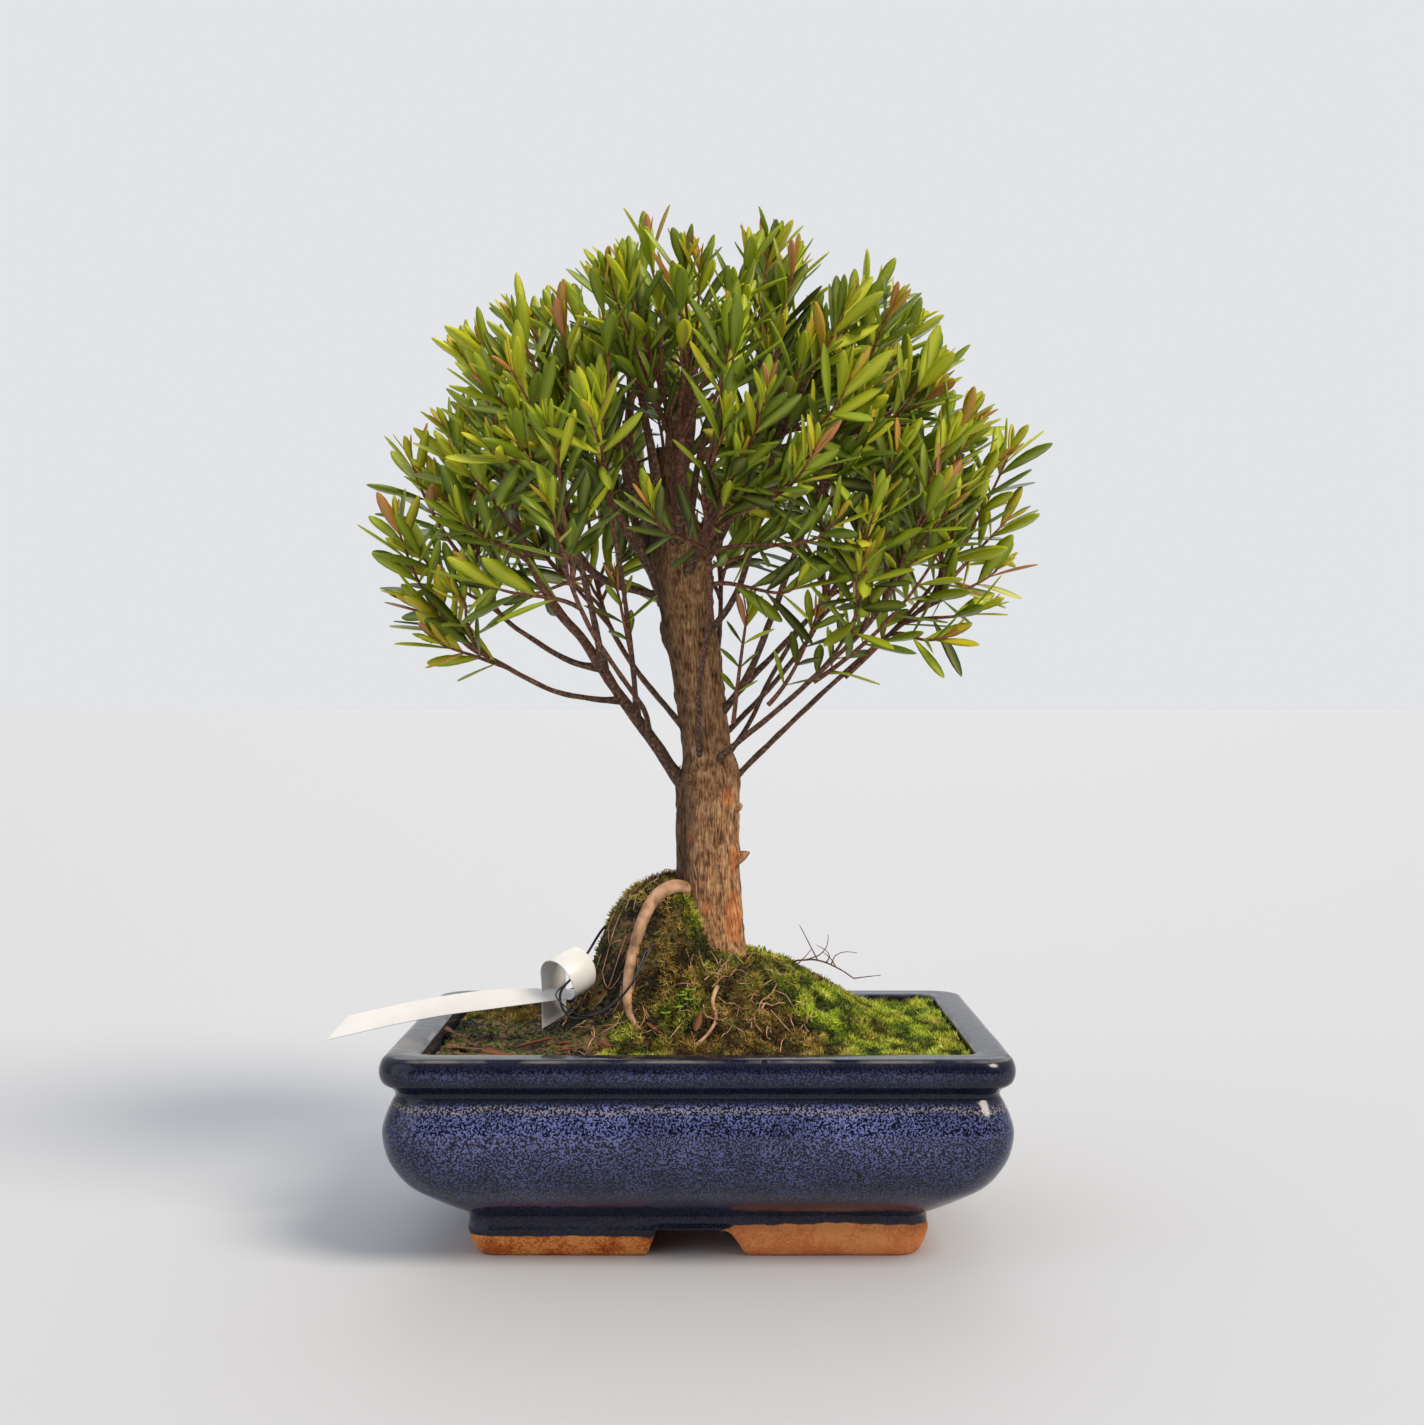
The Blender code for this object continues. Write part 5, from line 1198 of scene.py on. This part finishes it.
def find_stem(tip, limbs, used):
    """The curve from a near limb to the tip, leaving the limb along its way and ending up and out."""
    outward = Vector((tip.x - TRUNK_X, tip.y, 0.0))
    aim = (outward * 6.0 + Vector((0, 0, 0.85 if tip.z > POT_HEIGHT + 0.19 else 0.40))).normalized()
    best = None
    for route in limbs:
        for k in range(len(route) // 3, len(route) - 1):
            point = Vector(route[k][:3])
            way = Vector(route[k + 1][:3] - route[k - 1][:3]).normalized()
            span = tip - point
            if not 0.020 < span.length < 0.150:
                continue
            crowd = sum(1.0 for p in used if (p - point).length < 0.006)
            cost = span.length * (1.0 + 0.9 * way.angle(span)) + 0.012 * crowd
            if best is None or cost < best[0]:
                best = (cost, point, way, span)
    _, point, way, span = best
    used.append(point)
    heading = (way * 0.5 + span.normalized()).normalized()
    return [point, point + heading * span.length * 0.35, tip - aim * span.length * 0.38, tip]


def leaf_shapes():
    """Three leaves of length 1 along +X, face up: narrow at the base, widest past the middle, folded at the rib."""
    stations = (0.0, 0.06, 0.22, 0.42, 0.62, 0.80, 0.92, 0.98, 1.0)
    widths = (0.016, 0.022, 0.064, 0.100, 0.116, 0.100, 0.062, 0.030, 0.005)
    made = []
    for k, (curl, fold, sway) in enumerate(((0.10, 0.030, 0.00), (-0.07, 0.022, 0.05), (0.02, 0.036, -0.05))):
        verts = []
        for t, half in zip(stations, widths):
            height = curl * (t - t * t * 0.9) if curl > 0 else curl * t * t
            drift = sway * t * t
            rib = height - fold * half / max(widths)
            verts += [(t, half + drift, height), (t, drift, rib), (t, drift - half, height),
                      (t, drift, rib - 0.014)]
        last = 4 * (len(stations) - 1)
        faces = [(1, 2, 3, 0)] + [(a + 4 + c, a + 4 + (c + 1) % 4, a + (c + 1) % 4, a + c)
                                  for a in range(0, last, 4) for c in range(4)]
        faces.append((last + 3, last + 2, last + 1, last))
        made.append(mesh_object(f"leaf_{k}", verts, faces, {"along": np.repeat(stations, 4),
                                                            "rib": [0.0, 1.0, 0.0, 1.0] * len(stations)}))
    return made


def stem_leaves(curve, draw, leaves, inner_shade, apart=None, size_factor=1.0):
    """Adds the leaves of one stem: pairs set crosswise, closer together and smaller towards the tip. With apart
    they are set that far apart instead, down to the foot of the stem, and stand out more."""
    samples = [bezier(curve, t) for t in np.linspace(0, 1, 40)]
    lengths = np.concatenate([[0], np.cumsum([(b - a).length for a, b in zip(samples, samples[1:])])])
    total = lengths[-1]
    side = Vector((draw.uniform(-1, 1), draw.uniform(-1, 1), draw.uniform(-0.3, 0.3)))
    gap, back, number = LEAF_GAP, LEAF_BACK, 0
    leafy = min(total * 0.88, draw.uniform(0.032, 0.050)) if apart is None else total * 0.90
    while back < leafy:
        at = total - back
        k = min(len(samples) - 2, int(np.searchsorted(lengths, at)) - 1)
        way = (samples[k + 1] - samples[k]).normalized()
        place = samples[k] + way * (at - lengths[k])
        side = (side - way * side.dot(way)).normalized()
        across = way.cross(side)
        young = smoothstep(0.020, 0.0, back)
        for sign in (1, -1):
            out = (side if number % 2 else across) * sign
            out = (out + way.cross(out) * draw.uniform(-0.25, 0.25)).normalized()
            opening = math.radians(16 + 30 * min(1.0, back / 0.022) + draw.uniform(-9, 9))
            if apart is not None and back > 0.012:
                opening += math.radians(14)
            line = way * math.cos(opening) + out * math.sin(opening)
            line = (line + Vector((0, 0, 0.10))).normalized()
            face = way - line * way.dot(line)
            face = (face.normalized() + Vector((0, 0, 0.45)) - line * line.z * 0.45).normalized()
            face = (face - line * face.dot(line)).normalized()
            face = Matrix.Rotation(draw.gauss(0, 0.30), 3, line) @ face
            turn = Matrix((line, face.cross(line), face)).transposed().to_euler()
            size = (0.42 + 0.58 * smoothstep(0.0, 0.012, back)) * draw.uniform(0.78, 1.14) * size_factor
            # Leaves deep in the crown take painted shade: their tint is pulled towards the dark green.
            tint = 0.40 + 0.22 * young + draw.gauss(0, 0.16) - inner_shade * 0.26
            if draw.random() < (0.34 if young > 0.5 else 0.05):
                tint += 0.32
            leaves.append((place, turn, size, draw.randrange(3), min(1.0, max(0.0, tint))))
        number += 1
        back += gap
        gap = min(gap * 1.46, apart or LEAF_GAP_MOST) * draw.uniform(0.9, 1.1)


def crown_part(x, y):
    """The part of the crown that a place is in. Each one's leaves are a piece of their own."""
    return "back" if y > 0.022 else "left" if x < 0.004 else "right"


def leaf_seeds(name, leaves):
    """Points for leaves. Each has its place, its turn, its size, its shape's number and its tint."""
    places, turns, sizes, kinds, tints = zip(*leaves)
    seeds = mesh_object(name, places, [], {"size": sizes, "tint": tints}, smooth=False)
    turn = seeds.data.attributes.new("turn", "FLOAT_VECTOR", "POINT")
    turn.data.foreach_set("vector", np.array([tuple(euler) for euler in turns], np.float32).ravel())
    kind = seeds.data.attributes.new("kind", "INT", "POINT")
    kind.data.foreach_set("value", kinds)
    return seeds


class BONSAI_OT_foliage(bpy.types.Operator):
    """Grow the leafy shoots from the limbs, and set the leaves on them in crosswise pairs"""
    bl_idname = "bonsai.foliage"
    bl_label = "Foliage"

    def execute(self, context):
        growth = context.scene.bonsai_tree
        draw = random.Random(growth.seed)
        limbs = [limb_route(name, 0.004) for name in LIMBS] + [smooth_route(stem, 0.004) for stem in crown_stems()]
        rods, leaves, used = Rods(), [], []
        for tip in crown_tips(growth.shoots, draw):
            curve = find_stem(tip, limbs, used)
            # How deep the shoot's tip sits inside the crown. This sets the painted shade on its leaves.
            depth = (Vector((tip.x - TRUNK_X, tip.y, tip.z - POT_HEIGHT - 0.22)).length - 0.085) / 0.05
            inner_shade = min(1.0, max(0.0, 1.0 - depth))
            wander = Vector((draw.uniform(-1, 1), draw.uniform(-1, 1), 0.0)) * 0.0012
            radii = np.linspace(0.00085 + 0.0045 * (tip - curve[0]).length, 0.00042, 15)
            route = []
            for t, radius in zip(np.linspace(0, 1, 15), radii):
                sway = math.sin(2.6 * math.pi * t) if 0 < t < 1 else 0.0
                route.append((*(bezier(curve, t) + wander * sway), radius))
            rods.add(np.array(route), 6, youth=np.linspace(0.30, 1.0, 15))
            # The outer shoots low on the right are long and thin, with their leaves set well apart.
            sparse = tip.x > 0.062 and tip.z < POT_HEIGHT + 0.226
            stem_leaves(curve, draw, leaves, inner_shade, *((0.0100, 0.95) if sparse else ()))
        for points, apart, size_factor in LONG_SHOOTS:
            curve = [Vector(point) for point in raised(points)]
            route = np.array([(*bezier(curve, t), 0.0011 - 0.0006 * t) for t in np.linspace(0, 1, 24)])
            rods.add(route, 6, youth=np.linspace(0.55, 1.0, 24))
            stem_leaves(curve, draw, leaves, 0.15, apart, size_factor)
        settle(rods.make("shoot_stems"), young_bark(), "branch_bark")
        shapes = shape_set("leaf_shapes", leaf_shapes())
        finish = waxy_leaf()
        group = placing_tree("set_leaves")
        middles = {node: [sum(painted_end_shade) / 2 for painted_end_shade in zip(*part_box(node))] for node in frame["nodes"]
                   if node.startswith("shoot_")}
        for part in ("left", "right", "back"):
            own = [leaf for leaf in leaves if crown_part(*leaf[0][:2]) == part]
            foliage = run_nodes(leaf_seeds(f"leaves_{part}", own), group, {
                "Shapes": shapes, "Size": growth.leaf, "Finish": finish})
            settle(foliage, finish, "leaf", *[node for node, (x, y, _) in middles.items()
                                              if crown_part(x, y) == part])
        drop_shapes(shapes)
        return {"FINISHED"}


def root_shape(angle, point, radius):
    """A bare root's surface: worn smooth, slightly out of round."""
    return radius * (1.0 + 0.10 * noise.noise(Vector(point) * 70.0 + Vector((math.cos(angle), math.sin(angle), 0))))


class BONSAI_OT_roots(bpy.types.Operator):
    """Build the bare root on the side of the mound, the thin root in front and the fine root hairs"""
    bl_idname = "bonsai.roots"
    bl_label = "Roots"

    def execute(self, context):
        rods = Rods()
        for points, radii in ((BARE_ROOT, BARE_ROOT_RADII), (THIN_ROOT, np.linspace(0.0010, 0.0006, len(THIN_ROOT)))):
            laid = [(x, y, ground(x, y) + 1.1 * r, r) for (x, y), r in zip(points, radii)]
            rods.add(smooth_route(laid, 0.0012), 16, root_shape)
        # Fine dry fibres and root hairs that lie about on the mound.
        draw = random.Random(17)
        for _ in range(ROOT_HAIRS):
            x, y = draw.uniform(-0.060, 0.050), draw.uniform(-0.068, 0.030)
            if ground(x, y) < SOIL_LEVEL + 0.006 and draw.random() < 0.6:
                continue
            turn, bend, reach = draw.uniform(0, 6.3), draw.uniform(-0.9, 0.9), draw.uniform(0.005, 0.016)
            points = []
            for _ in range(5):
                points.append((x, y, rough_ground(x, y) + 0.0010 + draw.uniform(0.0, 0.0016), 0.00022))
                x, y = x + math.cos(turn) * reach / 4, y + math.sin(turn) * reach / 4
                turn += bend / 2
            rods.add(smooth_route(points, 0.0025), 5)
        settle(rods.make("root_bark"), root_bark(), "branch_bark", "bare_root", "thin_root")
        return {"FINISHED"}


# ---------------------------------------------------------------- label, wire and litter
def label_route():
    """The label's centreline with the direction of its width and its width: strip, loop, then hanging head."""
    centre = Vector((*LOOP_PLACE, ground(*LOOP_PLACE) + LOOP_LIFT))
    axis = Vector((0.66, 0.68, 0.32)).normalized()
    left = Vector((-axis.y, axis.x, 0.0)).normalized()
    up = axis.cross(left)
    tip = Vector((-POT_HALF_LENGTH - 0.0240, -0.0210, POT_HEIGHT + 0.0015))
    tip_across = Vector((0.02, 0.60, 0.80)).normalized()
    foot = centre - up * LOOP_RADIUS
    stations = []
    for t in np.arange(28) / 28:
        point = tip.lerp(foot, t) + Vector((0, 0, 0.0030)) * math.sin(math.pi * t)
        stations.append((point, tip_across.lerp(axis, max(0.0, (t - 0.6) / 0.4)).normalized(), STRIP_WIDTH))
    for t in np.arange(49) / 48:
        angle = math.radians(-90 + 262 * t)
        reach = LOOP_RADIUS * (1.0 + 0.12 * t)
        point = centre - left * reach * math.cos(angle) + up * reach * math.sin(angle)
        stations.append((point, axis, STRIP_WIDTH + (HEAD_WIDTH - STRIP_WIDTH) * min(1.0, t * 2.5)))
    point, down = stations[-1][0], (stations[-1][0] - stations[-2][0]).normalized()
    for _ in range(14):
        down = down.lerp(Vector((0, 0, -1)), 0.25).normalized()
        point = point + down * 0.00165
        stations.append((point, axis, HEAD_WIDTH))
    return stations


class BONSAI_OT_label(bpy.types.Operator):
    """Build the blank label, whose strip is looped around the tie wire and ends in a hanging head"""
    bl_idname = "bonsai.label"
    bl_label = "Label"

    def execute(self, context):
        rows = [[point + across * width * share for share in (-0.5, 0.0, 0.5)]
                for point, across, width in label_route()]
        # The strip's free end is cut to a slanting point.
        for side, reach in ((0, 0.0085), (1, 0.0042)):
            rows[0][side] = rows[0][side] + (rows[0][side] - rows[1][side]).normalized() * reach
        faces = [(a, a + 1, a + 4, a + 3) for k in range(len(rows) - 1) for a in (3 * k, 3 * k + 1)]
        piece = mesh_object("label_strip", [vert for row in rows for vert in row], faces)
        thick = piece.modifiers.new("thickness", "SOLIDIFY")
        thick.thickness, thick.offset = LABEL_THICKNESS, 0.0
        rounded = piece.modifiers.new("edges", "BEVEL")
        rounded.width, rounded.segments = LABEL_EDGE, 2
        bake(piece).set_sharp_from_angle(angle=math.radians(40))
        settle(piece, plain("white_label_plastic", "#f2f2f0", 0.32), "label", "name_tag")
        return {"FINISHED"}


class BONSAI_OT_wire(bpy.types.Operator):
    """Build the tie wire that carries the label"""
    bl_idname = "bonsai.wire"
    bl_label = "Tie wire"

    def execute(self, context):
        rods = Rods()
        middle = ground(*LOOP_PLACE) + LOOP_LIFT
        points = [(x, y, middle + z) for x, y, z in TIE_WIRE]
        rods.add(smooth_route(with_radius(points, 0.00058, 0.00050), 0.0012), 12)
        loose = [(x + 0.0022 * math.sin(1.3 * k), y - 0.0016, z + 0.0020 * math.cos(1.1 * k))
                 for k, (x, y, z) in enumerate(points)]
        rods.add(smooth_route(with_radius(loose[3:], 0.00032, 0.00028), 0.0012), 8)
        settle(rods.make("tie_wire_coated"), plain("anodised_wire", "#3a3d42", 0.34, metallic=0.85), "wire",
               "tie_wire")
        return {"FINISHED"}


class BONSAI_OT_litter(bpy.types.Operator):
    """Lay the dry leaves on the soil, and build the dead twig that stands in the moss"""
    bl_idname = "bonsai.litter"
    bl_label = "Litter"

    def execute(self, context):
        draw = random.Random(5)
        strewn = [(draw.uniform(-0.108, -0.045), draw.uniform(-0.066, 0.060)) for _ in range(9)]
        leaves = []
        for x, y in DRY_LEAVES[:8] + strewn + DRY_LEAVES[8:]:
            turn, tip, roll = draw.uniform(0, 2 * math.pi), draw.uniform(-0.35, 0.35), draw.uniform(-0.6, 0.6)
            spin = Matrix.Rotation(turn, 3, "Z") @ Matrix.Rotation(tip, 3, "Y") @ Matrix.Rotation(roll, 3, "X")
            leaves.append((Vector((x, y, rough_ground(x, y) + 0.0016)), spin.to_euler(), draw.uniform(0.40, 0.70),
                           draw.randrange(3), draw.random()))
        shapes = shape_set("litter_shapes", leaf_shapes())
        finish = plain("dry_leaf", "#7d4a2a", 0.8, grain=(0.001, 0.0003))
        piece = run_nodes(leaf_seeds("leaf_litter", leaves), placing_tree("lay_litter"), {
            "Shapes": shapes, "Size": context.scene.bonsai_tree.leaf, "Finish": finish})
        drop_shapes(shapes)
        settle(piece, finish, "dry_leaf", "dry_leaf_left", "dry_leaf_middle")
        rods = Rods()
        stem = smooth_route(with_radius(raised(DEAD_TWIG), 0.00055, 0.00028), 0.002)
        rods.add(stem, 8, youth=0.25)
        for _ in range(8):
            start = Vector(stem[draw.randrange(int(len(stem) * 0.25), len(stem))][:3])
            lean = Vector((draw.uniform(-1.2, 1.2), draw.uniform(-0.6, 0.3), draw.uniform(-0.1, 1.0))).normalized()
            reach = draw.uniform(0.005, 0.020)
            bend = Vector((draw.uniform(-1, 1), draw.uniform(-1, 1), draw.uniform(-0.8, 0.8))) * 0.0032
            side = [(*(start + lean * reach * s + bend * math.sin(math.pi * s)), 0.00030 - 0.00016 * s)
                    for s in (0.0, 0.35, 0.7, 1.0)]
            rods.add(smooth_route(side, 0.002), 6, youth=0.25)
        settle(rods.make("dead_twig_bark"), young_bark(), "branch_bark", "dead_twig")
        return {"FINISHED"}


class BONSAI_OT_clover(bpy.types.Operator):
    """Build the small clover that grows in the moss in front of the mound"""
    bl_idname = "bonsai.clover"
    bl_label = "Clover"

    def execute(self, context):
        draw = random.Random(2)
        bm = bmesh.new()
        for _ in range(CLOVER_STEMS):
            x, y = CLOVER_PLACE[0] + draw.uniform(-0.005, 0.005), CLOVER_PLACE[1] + draw.uniform(-0.004, 0.004)
            foot = Vector((x, y, ground(x, y)))
            top = foot + Vector((draw.uniform(-0.002, 0.002), -0.002, draw.uniform(0.004, 0.0065)))
            bmesh.ops.create_cone(bm, segments=5, radius1=0.0002, radius2=0.0002, depth=(top - foot).length,
                                  cap_ends=True, matrix=Matrix.Translation((foot + top) / 2)
                                  @ (top - foot).to_track_quat("Z", "Y").to_matrix().to_4x4())
            turn = draw.uniform(0, 2)
            for leaflet in range(3):
                spin = Matrix.Rotation(turn + leaflet * 2 * math.pi / 3, 4, "Z")
                shape = (Matrix.Translation(top) @ spin @ Matrix.Rotation(-0.25, 4, "Y")
                         @ Matrix.Translation((0.0013, 0, 0)) @ Matrix.Diagonal((0.0013, 0.0011, 0.00022, 1.0)))
                bmesh.ops.create_icosphere(bm, subdivisions=2, radius=1.0, matrix=shape)
        piece = solid_object("clover", bm)
        piece.data.shade_smooth()
        settle(piece, plain("fresh_clover_leaf", "#7fa61a", 0.5), "leaf")
        return {"FINISHED"}


# ---------------------------------------------------------------- stage
def sky_light(name, toward, spread, strength, tint):
    """A broad even light that shines along one direction, as from a large window or a studio sky."""
    light = bpy.data.lights.new(name, "SUN")
    light.angle = math.radians(spread)
    light.energy = strength
    light.color = colour(tint)[:3]
    linked(name, light).rotation_euler = Vector(toward).to_track_quat("-Z", "Y").to_euler()


def studio_world():
    """A pale studio, bright above and behind and dimmer behind the camera, so that the glaze keeps its depth."""
    world = bpy.data.worlds.new("studio")
    world.use_nodes = True
    tree = world.node_tree
    place = add_node(tree, "ShaderNodeTexCoord")
    axes = add_node(tree, "ShaderNodeSeparateXYZ", {0: place.outputs["Generated"]})
    depth = add_node(tree, "ShaderNodeMath", {0: axes.outputs["Z"], 1: 0.8, 2: axes.outputs["Y"]},
                     operation="MULTIPLY_ADD")
    power = add_node(tree, "ShaderNodeMapRange", {"Value": depth.outputs[0], "From Min": -0.6, "From Max": 0.6,
                                                  "To Min": 0.10, "To Max": 0.80})
    ray = add_node(tree, "ShaderNodeLightPath")
    seen = add_node(tree, "ShaderNodeMix", {0: ray.outputs["Is Camera Ray"], 2: power.outputs[0], 3: 0.89})
    background = tree.nodes["Background"]
    background.inputs["Color"].default_value = colour("#eef0f3")
    tree.links.new(seen.outputs[0], background.inputs["Strength"])
    return world


class BONSAI_OT_stage(bpy.types.Operator):
    """Set up the pale floor, the soft studio light and the camera"""
    bl_idname = "bonsai.stage"
    bl_label = "Stage"

    def execute(self, context):
        stage = context.scene.bonsai_stage
        corners = [(x * FLOOR_REACH, y * FLOOR_REACH, 0) for x, y in ((-1, -1), (1, -1), (1, 1), (-1, 1))]
        floor = mesh_object("floor", corners, [(0, 1, 2, 3)], smooth=False)
        matt = Finish("pale_matt_floor", 0.65)
        matt.shader.inputs["Base Color"].default_value = colour("#c3c5c9")
        paint(floor, matt.material)
        context.scene.world = studio_world()
        sky_light("key_light", (-0.75, 0.62, -0.95), 24, 2.9, "#fff3e2")
        sky_light("fill_light", (0.8, 0.8, -0.45), 60, 0.75, "#eef2ff")
        sky_light("back_light", (-0.1, -1.0, -0.9), 50, 0.5, "#f2f6ff")
        lens = bpy.data.cameras.new("camera")
        lens.sensor_width, lens.lens, lens.clip_start = SENSOR, LENS, 0.01
        camera = linked("camera", lens)
        camera.location = (CAMERA_X, -stage.distance, stage.height)
        camera.rotation_euler = (math.radians(CAMERA_ANGLE), 0.0, 0.0)
        context.scene.camera = camera
        context.scene.view_settings.view_transform = "Standard"
        return {"FINISHED"}


class BONSAI_PT_parts(bpy.types.Panel):
    """The bonsai's pieces, in the order that they are built"""
    bl_idname = "BONSAI_PT_parts"
    bl_label = "Bonsai"
    bl_space_type = "VIEW_3D"
    bl_region_type = "UI"
    bl_category = "Bonsai"

    def draw(self, context):
        for operator in OPERATORS:
            self.layout.operator(operator.bl_idname)
        for name, group in SETTINGS.items():
            box = self.layout.box()
            for label in group.__annotations__:
                box.prop(getattr(context.scene, name), label)


OPERATORS = (BONSAI_OT_stage, BONSAI_OT_pot, BONSAI_OT_soil, BONSAI_OT_moss, BONSAI_OT_trunk, BONSAI_OT_limbs,
             BONSAI_OT_foliage, BONSAI_OT_roots, BONSAI_OT_label, BONSAI_OT_wire, BONSAI_OT_litter,
             BONSAI_OT_clover)
SETTINGS = {"bonsai_pot": BonsaiPotSettings, "bonsai_ground": BonsaiGroundSettings,
            "bonsai_tree": BonsaiTreeSettings, "bonsai_stage": BonsaiStageSettings}


def register():
    for group in SETTINGS.values():
        bpy.utils.register_class(group)
    for name, group in SETTINGS.items():
        setattr(bpy.types.Scene, name, PointerProperty(type=group))
    for operator in OPERATORS:
        bpy.utils.register_class(operator)
    bpy.utils.register_class(BONSAI_PT_parts)


def unregister():
    bpy.utils.unregister_class(BONSAI_PT_parts)
    for operator in reversed(OPERATORS):
        bpy.utils.unregister_class(operator)
    for name, group in SETTINGS.items():
        delattr(bpy.types.Scene, name)
        bpy.utils.unregister_class(group)


def main():
    register()
    for operator in OPERATORS:
        group, name = operator.bl_idname.split(".")
        getattr(getattr(bpy.ops, group), name)()


if __name__ == "__main__":
    main()
